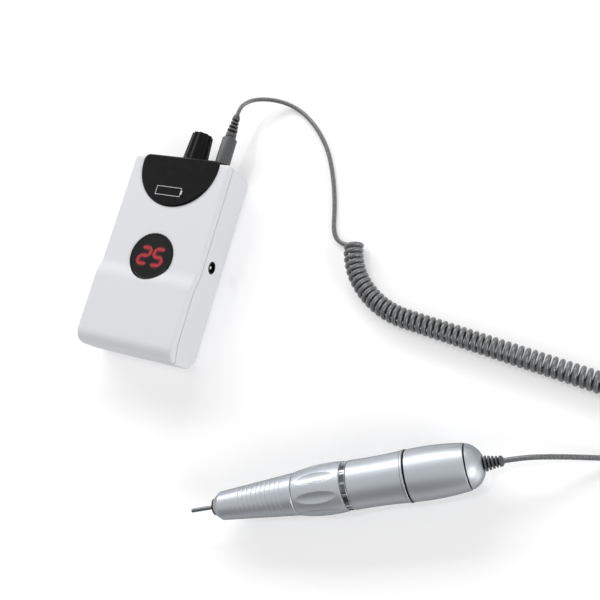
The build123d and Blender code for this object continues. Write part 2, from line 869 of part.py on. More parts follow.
def lock_sleeve():
    """Twist sleeve with long lens-shaped scallops round its crest."""
    sleeve = turned(
        [
            ThreePointArc(
                (sleeve_start, nose_end_radius),
                (sleeve_crest, sleeve_crest_radius),
                (sleeve_end, sleeve_end_radius),
            )
        ]
    )
    height = sleeve_crest_radius - scallop_depth + scallop_radius
    cutter = Cylinder(scallop_radius, 2 * (sleeve_end - sleeve_start))
    cutter = Pos(scallop_x, 0, height) * Rot(0, 90 - scallop_tilt, 0) * cutter
    for i in range(scallops):
        sleeve -= Rot(i * 360 / scallops, 0, 0) * cutter
    sleeve -= barrel(grip_tube_radius + sleeve_clearance, sleeve_start - overrun, sleeve_end + overrun)
    return sleeve


def index_ring():
    """Polished band behind the sleeve, with shallow notches."""
    ring = barrel(index_radius, index_start, index_end, grip_tube_radius)
    length = (index_end - index_start) / 2
    start = (index_start + index_end - length) / 2
    corner = (start, -index_notch_width / 2, index_radius - index_notch_depth)
    cut = block((length, index_notch_width, overrun), corner)
    for i in range(index_notches):
        ring -= Rot(i * 360 / index_notches, 0, 0) * cut
    return ring


def motor_housings():
    """Front barrel with its waist, black seam ring and rear barrel."""
    front = turned(
        [
            ThreePointArc(
                (barrel_start, index_radius + fit_gap),
                (barrel_waist_x, barrel_waist_radius),
                (barrel_end, barrel_radius),
            )
        ]
    )
    front -= barrel(grip_tube_radius, barrel_start, grip_tube_end)
    front -= barrel(can_radius, grip_tube_end, barrel_end)
    ring = barrel(seam_ring_radius, barrel_end, seam_ring_end, can_radius)
    crest_line = Line((seam_ring_end, barrel_radius), (rear_crest, rear_crest_radius))
    rear = turned(
        [
            crest_line,
            TangentArc(
                (rear_crest, rear_crest_radius), (rear_end, rear_end_radius), tangent=crest_line % 1
            ),
        ]
    )
    rear -= barrel(can_radius, seam_ring_end, rear_end)
    return {"motor_housing_front": front, "seam_ring": ring, "motor_housing_rear": rear}


def end_cap():
    """Domed rear cap on a spigot, with a groove at its seam."""
    groove_end = rear_end + cap_groove
    cap = turned(
        [
            Line((rear_end, cap_groove_radius), (groove_end, cap_groove_radius)),
            Line((groove_end, cap_groove_radius), (groove_end, cap_rim_radius)),
            ThreePointArc(
                (groove_end, cap_rim_radius), (cap_mid_x, cap_mid_radius), (cap_end, cap_end_radius)
            ),
        ]
    )
    cap += barrel(can_radius, rear_end - cap_spigot, rear_end)
    cap -= barrel(cap_cavity_radius, rear_end - cap_spigot, cap_end - cap_wall)
    cap -= barrel(cap_hole_radius, cap_end - cap_wall, cap_end)
    return cap


def handpiece_boot():
    """Ribbed strain relief whose neck and flange sit inside the rear cap."""
    boot = Pos(cap_end, 0, 0) * ribbed_boot(grip_boot_base, grip_boot_tip, grip_boot_length, grip_boot_ribs)
    inner = cap_end - cap_wall
    boot += barrel(cap_hole_radius, inner - boot_flange_length, cap_end)
    boot += barrel(boot_flange_radius, inner - boot_flange_length, inner)
    return boot


# Handpiece inside
def bearing_parts():
    """Four ball bearings as outer rings, cages with their balls, and inner rings."""
    motor_front = can_start + can_lip
    motor_rear = end_plate_start + can_lip
    outers, cages, inners = [], [], []
    race = bearing_radius - bearing_outer_wall
    hub = spindle_radius + bearing_inner_wall
    for x in (front_bearing_start, rear_bearing_start, motor_front, motor_rear):
        end = x + bearing_width
        outers.append(barrel(bearing_radius, x, end, race))
        cages.append(barrel(race, x + bearing_shield_sink, end - bearing_shield_sink, hub + bearing_play))
        inners.append(barrel(hub, x, end, spindle_radius))
    return outers, cages, inners


def build_collet():
    """Split collet with its drawbar, cross pin and push collar."""
    collet = barrel(collet_radius, collet_front, drawbar_end)
    head_end = collet_head_end - fit_gap
    collet += turned(
        [
            Line((collet_front, collet_head_radius - fit_gap), (head_end, collet_head_radius)),
            Line((head_end, collet_head_radius), (collet_head_end, collet_radius)),
        ]
    )
    collet -= barrel(shank_radius + shank_clearance, collet_front, shank_held + shank_round)
    for i in range(collet_slits):
        cut = block(
            (collet_slit_end, collet_slit_width, collet_head_radius + overrun),
            (collet_front, -collet_slit_width / 2, 0),
        )
        collet -= Rot(i * 360 / collet_slits, 0, 0) * cut
    pin_x = collar_start + collar_length / 2
    pin = Pos(pin_x, 0, 0) * Cylinder(cross_pin_radius, cross_pin_length)
    collar = barrel(collar_radius, collar_start, collar_start + collar_length, spindle_radius + bearing_play)
    return {"collet": collet - pin, "cross_pin": pin, "push_collar": collar - pin}


def build_spindle():
    """Hollow spindle with its nut, coupling sleeve and the collet spring."""
    tube = barrel(spindle_radius, spindle_front, spindle_end, collet_radius + collet_clearance)
    seat = front_bearing_start + bearing_width
    tube += barrel(spindle_flange, seat, seat + spindle_flange_length, spindle_radius)
    slot_start = collar_start + collar_length / 2 - cross_pin_radius - chuck_travel - fit_gap
    slot_length = 2 * cross_pin_radius + chuck_travel + 2 * fit_gap
    tube -= block(
        (slot_length, 2 * (cross_pin_radius + fit_gap), 4 * spindle_radius),
        (slot_start, -cross_pin_radius - fit_gap, -2 * spindle_radius),
    )
    nut_start = rear_bearing_start + bearing_width
    nut_end = nut_start + spindle_nut_length
    nut = barrel(spindle_nut_radius, nut_start, nut_end, spindle_radius)
    sleeve = barrel(coupling_radius, coupling_start, coupling_end, spindle_radius)
    room = collar_start - nut_end - chuck_travel - fit_gap
    pitch = (room - 2 * spring_wire) / spring_turns
    spring = coil_spring(
        Vector(collar_start - room + spring_wire, 0, 0),
        Vector(1, 0, 0),
        Vector(0, 1, 0),
        spring_turns,
        pitch,
        spring_radius,
        spring_wire,
    )
    return {"spindle_tube": tube, "spindle_nut": nut, "drive_coupling": sleeve, "collet_spring": spring}


def build_armature():
    """Shaft, slotted core, windings and commutator of the motor."""
    shaft = barrel(spindle_radius, shaft_start, shaft_end)
    start, end = core_start - winding_overhang, core_start + core_length + winding_overhang
    windings = barrel(winding_radius, start, core_start, winding_bore)
    windings += barrel(winding_radius, core_start + core_length, end, winding_bore)
    core = barrel(core_radius, core_start, core_start + core_length, spindle_radius)
    for i in range(core_slots):
        turn = Rot(i * 360 / core_slots, 0, 0)
        windings += turn * Pos(0, 0, slot_circle) * barrel(slot_radius, core_start, core_start + core_length)
        core -= turn * block(
            (core_length, slot_mouth, core_radius), (core_start, -slot_mouth / 2, slot_circle)
        )
    core -= windings
    commutator = barrel(
        commutator_radius, commutator_start, commutator_start + commutator_length, spindle_radius
    )
    return {
        "armature_shaft": shaft,
        "armature_core": core,
        "armature_windings": windings,
        "commutator": commutator,
    }


def build_motor_fixed():
    """Can, magnets, end plate, brush holder, brushes and their springs."""
    can_bore = can_radius - can_wall
    front_wall = can_start + can_lip + bearing_width
    can = barrel(can_radius, can_start, can_end)
    can -= barrel(can_bore, front_wall, can_end)
    can -= barrel(bearing_radius, can_start + can_lip, front_wall)
    can -= barrel(grip_tube_shoulder, can_start, can_start + can_lip)
    plate_bearing = end_plate_start + can_lip
    plate = barrel(can_bore, end_plate_start, plate_bearing + bearing_width, bearing_radius)
    plate += barrel(can_bore, end_plate_start, plate_bearing, grip_tube_shoulder)
    magnet = barrel(can_bore, magnet_start, magnet_start + magnet_length, can_bore - magnet_wall)
    half_span = radians(magnet_span / 2)
    corner = (2 * can_radius * cos(half_span), 2 * can_radius * sin(half_span))
    wedge = Polygon((0, 0), (corner[0], -corner[1]), (2 * can_radius, 0), corner, align=None)
    arc = magnet & extrude(Plane.YZ.offset(magnet_start) * wedge, magnet_length)
    holder = barrel(can_bore, holder_start, holder_start + holder_length, holder_bore)
    length, width, height = brush_size
    brush_x = commutator_start + commutator_length / 2
    low = commutator_radius + brush_play
    brushes, springs = [], []
    for side in (0, 180):
        turn = Rot(side, 0, 0)
        window = block((length, width, can_bore), (brush_x - length / 2, -width / 2, low))
        holder -= turn * window
        brushes.append(turn * block(brush_size, (brush_x - length / 2, -width / 2, low)))
        spring = post(brush_spring_radius, brush_x, 0, low + height, can_bore - fit_gap)
        spring -= post(brush_spring_radius - brush_spring_wire, brush_x, 0, low, can_bore)
        springs.append(turn * spring)
    return {
        "motor_can": can,
        "motor_end_plate": plate,
        "motor_magnets": [arc, Rot(180, 0, 0) * arc],
        "brush_holder": holder,
        "brushes": brushes,
        "brush_springs": springs,
    }


def build_handpiece():
    """Every piece of the handpiece, along +X from its nose."""
    shank_end = shank_held
    shank = barrel(shank_radius, -shank_free, shank_end)
    shank = fillet(shank.edges().filter_by(GeomType.CIRCLE).sort_by(Axis.X)[0], shank_round)
    spacer_start = front_bearing_start + bearing_width
    spacer = barrel(bearing_radius, spacer_start, rear_bearing_start, bearing_radius - spacer_wall)
    grip_start = rear_bearing_start + bearing_width
    grip_tube = barrel(grip_tube_radius, grip_start, grip_tube_end, grip_tube_bore)
    grip_tube += barrel(grip_tube_bore, grip_start, grip_start + grip_tube_lip, grip_tube_shoulder)
    outers, cages, inners = bearing_parts()
    parts = {
        "nose_ring": barrel(nose_ring_radius, 0, nose_ring_depth, nose_ring_bore),
        "nose_cone": nose_cone(),
        "lock_sleeve": lock_sleeve(),
        "index_ring": index_ring(),
        "grip_tube": grip_tube,
        "bearing_spacer": spacer,
        "end_cap": end_cap(),
        "handpiece_boot": handpiece_boot(),
        "tool_shank": shank,
        "bearing_outer_rings": outers,
        "bearing_cages": cages,
        "bearing_inner_rings": inners,
    }
    parts |= motor_housings() | build_collet() | build_spindle() | build_armature() | build_motor_fixed()
    placed = {}
    for name, shape in parts.items():
        pieces = shape if isinstance(shape, list) else [shape]
        placed[name] = [housing * piece for piece in pieces]
    return placed


def solids_of(shape):
    """All the solids of a piece or of a list of pieces."""
    pieces = shape if isinstance(shape, list) else [shape]
    return [solid for piece in pieces for solid in piece.solids()]


nodes = build_case() | build_screws() | build_display() | build_main_board() | build_battery()
nodes |= build_speed_control() | build_output_socket() | build_charge_socket()
nodes |= build_plug() | build_cord() | build_handpiece()

os.makedirs("parts", exist_ok=True)
for name, shape in nodes.items():
    solids = solids_of(shape)
    export_step(solids[0] if len(solids) == 1 else Compound(solids), f"parts/{name}.step")
    print(name, len(solids), "solids")
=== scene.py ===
from math import atan2, cos, pi, radians, sin, sqrt

import bmesh
import bpy
from mathutils import Matrix, Vector


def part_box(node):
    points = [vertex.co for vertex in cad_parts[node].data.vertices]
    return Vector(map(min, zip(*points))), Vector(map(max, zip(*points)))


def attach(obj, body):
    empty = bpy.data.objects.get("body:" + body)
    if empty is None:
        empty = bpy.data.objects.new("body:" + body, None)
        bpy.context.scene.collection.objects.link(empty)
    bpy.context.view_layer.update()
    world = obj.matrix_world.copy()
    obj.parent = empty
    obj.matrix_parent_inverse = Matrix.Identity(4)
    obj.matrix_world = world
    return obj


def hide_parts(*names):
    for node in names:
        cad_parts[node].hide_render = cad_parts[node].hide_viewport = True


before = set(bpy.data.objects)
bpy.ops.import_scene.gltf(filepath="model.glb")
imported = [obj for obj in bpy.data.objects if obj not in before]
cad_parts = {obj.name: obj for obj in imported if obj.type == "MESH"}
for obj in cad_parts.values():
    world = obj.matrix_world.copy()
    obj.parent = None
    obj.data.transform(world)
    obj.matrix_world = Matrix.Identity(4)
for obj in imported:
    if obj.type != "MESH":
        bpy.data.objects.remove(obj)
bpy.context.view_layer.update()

# The dressed micromotor: control box, plug, curly cord and handpiece
# metres for the camera, the cord and the studio, millimetres for the other pieces' sizes
mm = 0.001
scene = bpy.context.scene


def toLinear(hexColour):
    channels = [int(hexColour[i:i + 2], 16) / 255 for i in (1, 3, 5)]
    linear = [c / 12.92 if c <= 0.04045 else ((c + 0.055) / 1.055) ** 2.4 for c in channels]
    return (*linear, 1)


def addNode(tree, kind, settings=None, inputs=None, links=None):
    # a link starts at a socket, or at a node's first output
    node = tree.nodes.new(kind)
    for name, value in (settings or {}).items():
        setattr(node, name, value)
    for name, value in (inputs or {}).items():
        node.inputs[name].default_value = value
    for name, source in (links or {}).items():
        start = source.outputs[0] if isinstance(source, bpy.types.Node) else source
        tree.links.new(start, node.inputs[name])
    return node


# Camera: fitted to the box's corners and the handpiece's axis
cameraView = {
    "place": (0.3140, -0.1021, 0.4523),
    "right": (0.8884, 0.2653, -0.3747),
    "up": (-0.1647, 0.9460, 0.2794),
    "focalPixels": 840.86,
    "framePixels": 600,
    "sensor": 36,
}
cameraData = bpy.data.cameras.new("camera")
cameraData.sensor_fit = "HORIZONTAL"
cameraData.sensor_width = cameraView["sensor"]
cameraData.lens = cameraView["sensor"] * cameraView["focalPixels"] / cameraView["framePixels"]
camera = bpy.data.objects.new("camera", cameraData)
right = Vector(cameraView["right"]).normalized()
back = right.cross(Vector(cameraView["up"])).normalized()
turn = Matrix((right, back.cross(right), back)).transposed().to_4x4()
camera.matrix_world = Matrix.Translation(cameraView["place"]) @ turn
scene.collection.objects.link(camera)
scene.camera = camera
print("camera placed")


# Materials
def newMaterial(name):
    material = bpy.data.materials.new(name)
    material.use_nodes = True
    tree = material.node_tree
    return material, tree, tree.nodes["Principled BSDF"]


def grainBump(tree, shader, size, strength, height, stretch=(1, 1, 1), turnBy=0, detail=2):
    # size and height in millimetres; a moulded grain is finer in fact and drawn as coarse as it shows
    place = addNode(tree, "ShaderNodeTexCoord").outputs["Object"]
    if turnBy or stretch != (1, 1, 1):
        rotation = {"Rotation": (0, 0, -turnBy)}
        turned = addNode(tree, "ShaderNodeMapping", inputs=rotation, links={"Vector": place})
        place = addNode(tree, "ShaderNodeMapping", inputs={"Scale": stretch}, links={"Vector": turned})
    grain = {"Scale": 1 / (size * mm), "Detail": detail}
    noise = addNode(tree, "ShaderNodeTexNoise", inputs=grain, links={"Vector": place})
    depth = {"Strength": strength, "Distance": height * mm}
    bump = addNode(tree, "ShaderNodeBump", inputs=depth, links={"Height": noise})
    tree.links.new(bump.outputs["Normal"], shader.inputs["Normal"])
    return noise


noiseReach = {"From Min": 0.3, "From Max": 0.7}  # where most of the noise lies


def tintedBy(tree, shader, noise, low, high, socket="Base Color"):
    # the noise leads a socket from its low value to its high one
    ramp = addNode(tree, "ShaderNodeMapRange", inputs=noiseReach, links={"Value": noise})
    if socket == "Base Color":
        mix = addNode(tree, "ShaderNodeMix", {"data_type": "RGBA"}, links={"Factor": ramp})
        mix.inputs[6].default_value = toLinear(low)
        mix.inputs[7].default_value = toLinear(high)
        tree.links.new(mix.outputs[2], shader.inputs[socket])
    else:
        ramp.inputs["To Min"].default_value = low
        ramp.inputs["To Max"].default_value = high
        tree.links.new(ramp.outputs["Result"], shader.inputs[socket])


def mouldedAbs():
    # white ABS from a spark-eroded mould: soft sheen with a fine even grain
    material, tree, shader = newMaterial("mouldedAbs")
    shader.inputs["IOR"].default_value = 1.5
    shader.inputs["Specular IOR Level"].default_value = 0.35
    noise = grainBump(tree, shader, size=0.5, strength=0.12, height=0.04)
    tintedBy(tree, shader, noise, "#DFE0E3", "#E5E6E9")
    tintedBy(tree, shader, noise, 0.54, 0.62, socket="Roughness")
    return material


def glossAbs():
    # black ABS from a polished mould: near-mirror gloss with a faint broad ripple
    material, tree, shader = newMaterial("glossAbs")
    shader.inputs["IOR"].default_value = 1.5
    shader.inputs["Specular IOR Level"].default_value = 0.15
    noise = grainBump(tree, shader, size=3, strength=0.05, height=0.02)
    tintedBy(tree, shader, noise, "#08080A", "#0E0E10")
    tintedBy(tree, shader, noise, 0.12, 0.2, socket="Roughness")
    return material


def smokedAcrylic():
    # dark smoked acrylic window, flame-polished
    material, tree, shader = newMaterial("smokedAcrylic")
    shader.inputs["IOR"].default_value = 1.49
    shader.inputs["Specular IOR Level"].default_value = 0.25
    noise = grainBump(tree, shader, size=6, strength=0.03, height=0.01)
    tintedBy(tree, shader, noise, "#0B0A0B", "#0F0D0E")
    tintedBy(tree, shader, noise, 0.08, 0.14, socket="Roughness")
    return material


def mattNylon():
    # glass-filled nylon knob, eroded mould: matt and slightly mottled
    material, tree, shader = newMaterial("mattNylon")
    shader.inputs["IOR"].default_value = 1.53
    shader.inputs["Specular IOR Level"].default_value = 0.08
    noise = grainBump(tree, shader, size=0.35, strength=0.2, height=0.04, detail=3)
    tintedBy(tree, shader, noise, "#0A0B0C", "#111214")
    tintedBy(tree, shader, noise, 0.34, 0.44, socket="Roughness")
    return material


def flexibleVinyl():
    # grey flexible PVC cord jacket, extruded: satin, faintly mottled
    material, tree, shader = newMaterial("flexibleVinyl")
    shader.inputs["IOR"].default_value = 1.53
    shader.inputs["Specular IOR Level"].default_value = 0.8
    noise = grainBump(tree, shader, size=1.2, strength=0.1, height=0.05, detail=3)
    tintedBy(tree, shader, noise, "#58595B", "#656668")
    tintedBy(tree, shader, noise, 0.24, 0.32, socket="Roughness")
    return material


def mouldedVinyl():
    # grey PVC moulded over the plug and the strain reliefs
    material, tree, shader = newMaterial("mouldedVinyl")
    shader.inputs["IOR"].default_value = 1.53
    shader.inputs["Specular IOR Level"].default_value = 0.35
    noise = grainBump(tree, shader, size=0.5, strength=0.2, height=0.04)
    tintedBy(tree, shader, noise, "#474849", "#545557")
    tintedBy(tree, shader, noise, 0.4, 0.5, socket="Roughness")
    return material


def anodisedAluminium():
    # turned, bead-blasted and clear-anodised aluminium: satin, the milky oxide scatters part of the light
    material, tree, shader = newMaterial("anodisedAluminium")
    shader.inputs["Metallic"].default_value = 0.85
    # painted shade: the dark edge tint darkens the metal toward its rims
    shader.inputs["Specular Tint"].default_value = toLinear("#25282C")  # dulls it toward the rims
    shader.inputs["Coat Weight"].default_value = 0.25
    shader.inputs["Coat Roughness"].default_value = 0.3
    noise = grainBump(tree, shader, size=0.25, strength=0.06, height=0.02, detail=3,
                      turnBy=radians(handpiece["heading"]), stretch=(4, 0.15, 0.15))  # marks run round it
    tintedBy(tree, shader, noise, "#A8ADB2", "#B3B8BD")
    tintedBy(tree, shader, noise, 0.42, 0.48, socket="Roughness")
    return material


def gunmetalPlating():
    # polished dark nickel plate, in the index ring's windows
    material, tree, shader = newMaterial("gunmetalPlating")
    shader.inputs["Metallic"].default_value = 1
    noise = grainBump(tree, shader, size=0.3, strength=0.1, height=0.02)
    tintedBy(tree, shader, noise, "#54585B", "#64686B")
    tintedBy(tree, shader, noise, 0.1, 0.16, socket="Roughness")
    return material


def groundSteel(name, low, high):
    # centreless-ground steel: bright, with a fine grain
    material, tree, shader = newMaterial(name)
    shader.inputs["Metallic"].default_value = 1
    noise = grainBump(tree, shader, size=0.2, strength=0.08, height=0.01, detail=3)
    tintedBy(tree, shader, noise, low, high)
    tintedBy(tree, shader, noise, 0.2, 0.32, socket="Roughness")
    return material


def paintedSeamShade():
    # grey strip laid in the joint between the shells: painted shade of the gap
    material, tree, shader = newMaterial("paintedSeamShade")
    noise = grainBump(tree, shader, size=0.4, strength=0.1, height=0.01)
    tintedBy(tree, shader, noise, "#707174", "#7C7D80")
    tintedBy(tree, shader, noise, 0.5, 0.6, socket="Roughness")
    return material


def litSegments(name, glow, strength):
    # red light-emitting segments seen through the window, and the light that it scatters
    material, tree, shader = newMaterial(name)
    shader.inputs["Base Color"].default_value = toLinear("#1A0506")
    shader.inputs["Specular IOR Level"].default_value = 0.15
    shader.inputs["Emission Color"].default_value = toLinear(glow)
    shader.inputs["Emission Strength"].default_value = strength
    noise = grainBump(tree, shader, size=1, strength=0.05, height=0.01)
    tintedBy(tree, shader, noise, 0.3, 0.4, socket="Roughness")
    return material


def padPrint():
    # pale pad-printing ink
    material, tree, shader = newMaterial("padPrint")
    noise = grainBump(tree, shader, size=0.3, strength=0.1, height=0.01)
    tintedBy(tree, shader, noise, "#C9CDD1", "#DDE0E3")
    tintedBy(tree, shader, noise, 0.4, 0.5, socket="Roughness")
    return material


# Handpiece: nose and height of its axis in metres, its cord's exit in millimetres from the nose
handpiece = {"nose": (0.0852, -0.1371), "heading": 23.2, "height": 0.0140, "segments": 160, "cordExit": 164.7}
alongHandpiece = (
    Matrix.Translation((*handpiece["nose"], handpiece["height"]))
    @ Matrix.Rotation(radians(handpiece["heading"]), 4, "Z")
    @ Matrix.Scale(mm, 4)
)

finish = {
    "white": mouldedAbs(),
    "blackGloss": glossAbs(),
    "window": smokedAcrylic(),
    "knob": mattNylon(),
    "cord": flexibleVinyl(),
    "plug": mouldedVinyl(),
    "silver": anodisedAluminium(),
    "darkRing": gunmetalPlating(),
    "steel": groundSteel("groundSteel", "#8F9396", "#A9ADB0"),
    "toolSteel": groundSteel("toolSteel", "#5B5F62", "#74787B"),
    "brightSteel": groundSteel("polishedSteel", "#C8CBCE", "#E0E3E5"),
    "lit": litSegments("litSegments", "#AC3A41", 0.92),
    "halo": litSegments("segmentHalo", "#6A2025", 0.8),
    "ink": padPrint(),
    # painted shade for the joint between the shells
    "seam": paintedSeamShade(),
}
print("materials made")


# Cord: one curve from the handpiece through the tail, the coil and the lead to the plug
cordRoute = {
    "diameter": 0.0028,
    "tail": [
        (0.24485, -0.06867, 0.0140), (0.2554, -0.0652, 0.0116), (0.2672, -0.0619, 0.0074),
        (0.2794, -0.0590, 0.0042), (0.2916, -0.0560, 0.0022), (0.3030, -0.0516, 0.0016),
        (0.3126, -0.0436, 0.0015), (0.3186, -0.0320, 0.0015), (0.3210, -0.0190, 0.0015),
        (0.3192, -0.0070, 0.0015), (0.3128, 0.0016, 0.0015), (0.3026, 0.0036, 0.0015),
        (0.2934, -0.0022, 0.0015), (0.28737, -0.01283, 0.00145),
    ],
    "lead": [
        (0.1134, 0.03168, 0.00145), (0.1076, 0.0346, 0.0015), (0.1042, 0.0409, 0.0015),
        (0.1022, 0.0506, 0.0015), (0.0988, 0.0626, 0.0015), (0.0936, 0.0766, 0.0015),
        (0.0863, 0.0912, 0.0015), (0.0769, 0.1030, 0.0015), (0.0672, 0.1118, 0.0015),
        (0.0570, 0.1182, 0.0016), (0.0468, 0.1212, 0.0036), (0.0374, 0.1210, 0.0068),
        (0.0296, 0.1186, 0.0104), (0.0242, 0.1144, 0.0132), (0.0215, 0.1089, 0.0145),
    ],
    "plugTip": (0.0215, 0.1041, 0.0145),
    "length": 1.795,
}
coil = {
    "turns": 50, "radius": 0.0046, "height": 0.00605, "start": (0.1222, 0.0318), "heading": -82,
    "arcs": ((0.042, 32.0), (0.052, 42.5)), "straight": 0.121, "pointsPerTurn": 14,
}


def leftOf(heading):
    return Vector((-sin(heading), cos(heading), 0))


def coilLine(distance):
    # place on the coil's axis and the direction to its left
    heading = radians(coil["heading"])
    place = Vector((*coil["start"], coil["height"]))
    for radius, sweep in coil["arcs"]:
        run = min(distance, radius * radians(sweep))
        centre = place + leftOf(heading) * radius
        heading += run / radius
        place = centre - leftOf(heading) * radius
        distance -= run
        if distance <= 0:
            return place, leftOf(heading)
    return place + Vector((cos(heading), sin(heading), 0)) * distance, leftOf(heading)


def coilPoints():
    length = sum(radius * radians(sweep) for radius, sweep in coil["arcs"]) + coil["straight"]
    steps = coil["turns"] * coil["pointsPerTurn"]
    spread = coil["radius"] / cos(pi / coil["pointsPerTurn"])  # the curve runs inside its control points
    points = []
    for i in range(steps + 1):
        place, left = coilLine(length * i / steps)
        angle = 2 * pi * i / coil["pointsPerTurn"] - pi / 2
        points.append(place + (left * cos(angle) + Vector((0, 0, 1)) * sin(angle)) * spread)
    return points


def nurbsCurve(name, points, diameter):
    data = bpy.data.curves.new(name, "CURVE")
    data.dimensions = "3D"
    spline = data.splines.new("NURBS")
    spline.points.add(len(points) - 1)
    for point, place in zip(spline.points, points):
        point.co = (*place, 1)
    spline.order_u = 3
    spline.use_endpoint_u = True
    spline.resolution_u = 4
    data.bevel_depth = diameter / 2
    data.bevel_resolution = 4
    data.use_fill_caps = True
    item = bpy.data.objects.new(name, data)
    scene.collection.objects.link(item)
    return item


handpieceTip = alongHandpiece @ Vector((handpiece["cordExit"], 0, 0))
route = [handpieceTip, *cordRoute["tail"], *reversed(coilPoints()), *cordRoute["lead"], cordRoute["plugTip"]]
cordPiece = nurbsCurve("curlyCord", route, cordRoute["diameter"])
cordPiece.data.materials.append(finish["cord"])
print("cord laid,", len(route), "points")


# Shapes shared by the pieces
def meshPiece(name, bm, material, sharp=30):
    bmesh.ops.recalc_face_normals(bm, faces=bm.faces)
    mesh = bpy.data.meshes.new(name)
    bm.to_mesh(mesh)
    bm.free()
    if mesh.has_custom_normals:  # a CAD copy's stored normals would spoil the sharp edges
        mesh.attributes.remove(mesh.attributes["custom_normal"])
    mesh.shade_smooth()
    mesh.set_sharp_from_angle(angle=radians(sharp))
    mesh.materials.append(material)
    item = bpy.data.objects.new(name, mesh)
    scene.collection.objects.link(item)
    return item


weld = {"merge": 0.003, "collapse": 0.001, "cut": 0.0001, "sharp": 24}  # millimetres and degrees


def smoothCopy(node, material, cuts=()):
    # a CAD node's own shape, welded and smoothly shaded; cuts across Y keep the long flat faces' shading flat
    bm = bmesh.new()
    bm.from_mesh(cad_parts[node].data)
    bmesh.ops.remove_doubles(bm, verts=bm.verts, dist=weld["merge"] * mm)
    bmesh.ops.dissolve_degenerate(bm, edges=bm.edges, dist=weld["collapse"] * mm)
    for y in cuts:
        everything = bm.verts[:] + bm.edges[:] + bm.faces[:]
        bmesh.ops.bisect_plane(bm, geom=everything, dist=weld["cut"] * mm, plane_co=(0, y * mm, 0),
                               plane_no=(0, 1, 0))
    item = meshPiece(node + "Dressed", bm, material, weld["sharp"])
    shading = item.modifiers.new("shading", "WEIGHTED_NORMAL")
    shading.weight = 100
    shading.keep_sharp = True
    return item


def dress(item, body, slotName, *nodes):
    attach(item, body)
    if nodes:
        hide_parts(*nodes)
    return item


def arcPoints(first, middle, last, count):
    # points on the circle through three places
    (ax, ay), (bx, by), (cx, cy) = first, middle, last
    d = 2 * (ax * (by - cy) + bx * (cy - ay) + cx * (ay - by))
    ux = ((ax**2 + ay**2) * (by - cy) + (bx**2 + by**2) * (cy - ay) + (cx**2 + cy**2) * (ay - by)) / d
    uy = ((ax**2 + ay**2) * (cx - bx) + (bx**2 + by**2) * (ax - cx) + (cx**2 + cy**2) * (bx - ax)) / d
    radius = sqrt((ax - ux) ** 2 + (ay - uy) ** 2)
    start, end = atan2(ay - uy, ax - ux), atan2(cy - uy, cx - ux)
    while end - start > pi:
        end -= 2 * pi
    while start - end > pi:
        end += 2 * pi
    angles = [start + (end - start) * i / count for i in range(count + 1)]
    return [(ux + radius * cos(a), uy + radius * sin(a)) for a in angles]


def alongY(x, z):
    # millimetres along Y, on a line through the given place in metres
    return Matrix.Translation((x, 0, z)) @ Matrix.Rotation(pi / 2, 4, "Z") @ Matrix.Scale(mm, 4)


def turnedBand(name, loop, material, place, segments=handpiece["segments"], shape=None, sharp=30):
    # a closed outline of (along, radius) in millimetres, turned round the X axis
    bm = bmesh.new()
    rings = []
    for x, r in loop:
        ring = []
        for k in range(segments):
            angle = 2 * pi * k / segments
            radius = shape(x, r, angle) if shape else r
            ring.append(bm.verts.new((x, radius * cos(angle), radius * sin(angle))))
        rings.append(ring)
    for i, ring in enumerate(rings):
        after = rings[(i + 1) % len(rings)]
        for k in range(segments):
            bm.faces.new((ring[k], ring[(k + 1) % segments], after[(k + 1) % segments], after[k]))
    bmesh.ops.transform(bm, matrix=place, verts=bm.verts)
    return meshPiece(name, bm, material, sharp)


# Control box
caseParts = {
    "rear_shell": ("white", "white_housing"),
    "front_cover": ("white", "white_housing"),
    "top_panel": ("blackGloss", "black_panel"),
    "display_lens": ("window", "black_panel"),
    "socket_nut": ("blackGloss", "dark_nut"),
    "charge_socket": ("blackGloss", "inner_plastic"),
    "charge_pin": ("brightSteel", "nickel"),
    "housing_screws": ("steel", "screw_steel"),
    "pot_nut": ("steel", "screw_steel"),
}
flatCuts = {"front_cover": (-21.5, -6.5)}
bevelRise = (0.2, 0.95)  # upward share of the normals on the panel's bevel
for node, (look, slotName) in caseParts.items():
    casePiece = dress(smoothCopy(node, finish[look], flatCuts.get(node, ())), "control", slotName, node)
    if node == "top_panel":
        casePiece.data.materials.append(finish["knob"])  # the bevel is left as moulded, without polish
        for face in casePiece.data.polygons:
            if bevelRise[0] < face.normal.z < bevelRise[1]:
                face.material_index = 1

lensRim = {
    "centre": (0.0, -2.5), "radius": 15.6, "width": 1.3, "rise": 0.25, "sink": 0.3, "foot": 0.02, "steps": 8,
    "segments": 128,
}


def windowRim():
    # rounded rim round the display window
    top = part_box("display_lens")[1].z / mm
    outer, inner, foot = lensRim["radius"], lensRim["radius"] - lensRim["width"], top + lensRim["foot"]
    crest = (top + lensRim["rise"], outer - lensRim["width"] / 2)
    loop = [(top - lensRim["sink"], inner), (top, inner)]
    loop += arcPoints((foot, inner), crest, (foot, outer), lensRim["steps"])
    loop.append((top - lensRim["sink"], outer))
    x, y = lensRim["centre"]
    place = Matrix.Translation((x * mm, y * mm, 0)) @ Matrix.Rotation(-pi / 2, 4, "Y") @ Matrix.Scale(mm, 4)
    return turnedBand("windowRim", loop, finish["blackGloss"], place, lensRim["segments"])


dress(windowRim(), "control", "black_panel")

seam = {
    "high": 26.4, "low": 23.9, "step": (-20.5, -7.5), "foot": (-48.5, 34.0), "end": 64.5, "side": 37.0,
    "corner": 2.4, "cornerSteps": 8, "inset": 0.14, "depth": 0.3, "top": 0.03, "width": 0.42, "spacing": 1.0,
}


def seamHeight(y):
    # the joint steps down past the bulge and curves down at the foot
    (first, last), (foot, radius) = seam["step"], seam["foot"]
    share = min(max((y - first) / (last - first), 0), 1)
    drop = 2 * share**2 if share < 0.5 else 1 - 2 * (1 - share) ** 2
    away = max(foot - y, 0)
    return seam["high"] - (seam["high"] - seam["low"]) * drop - radius + sqrt(radius**2 - away**2)


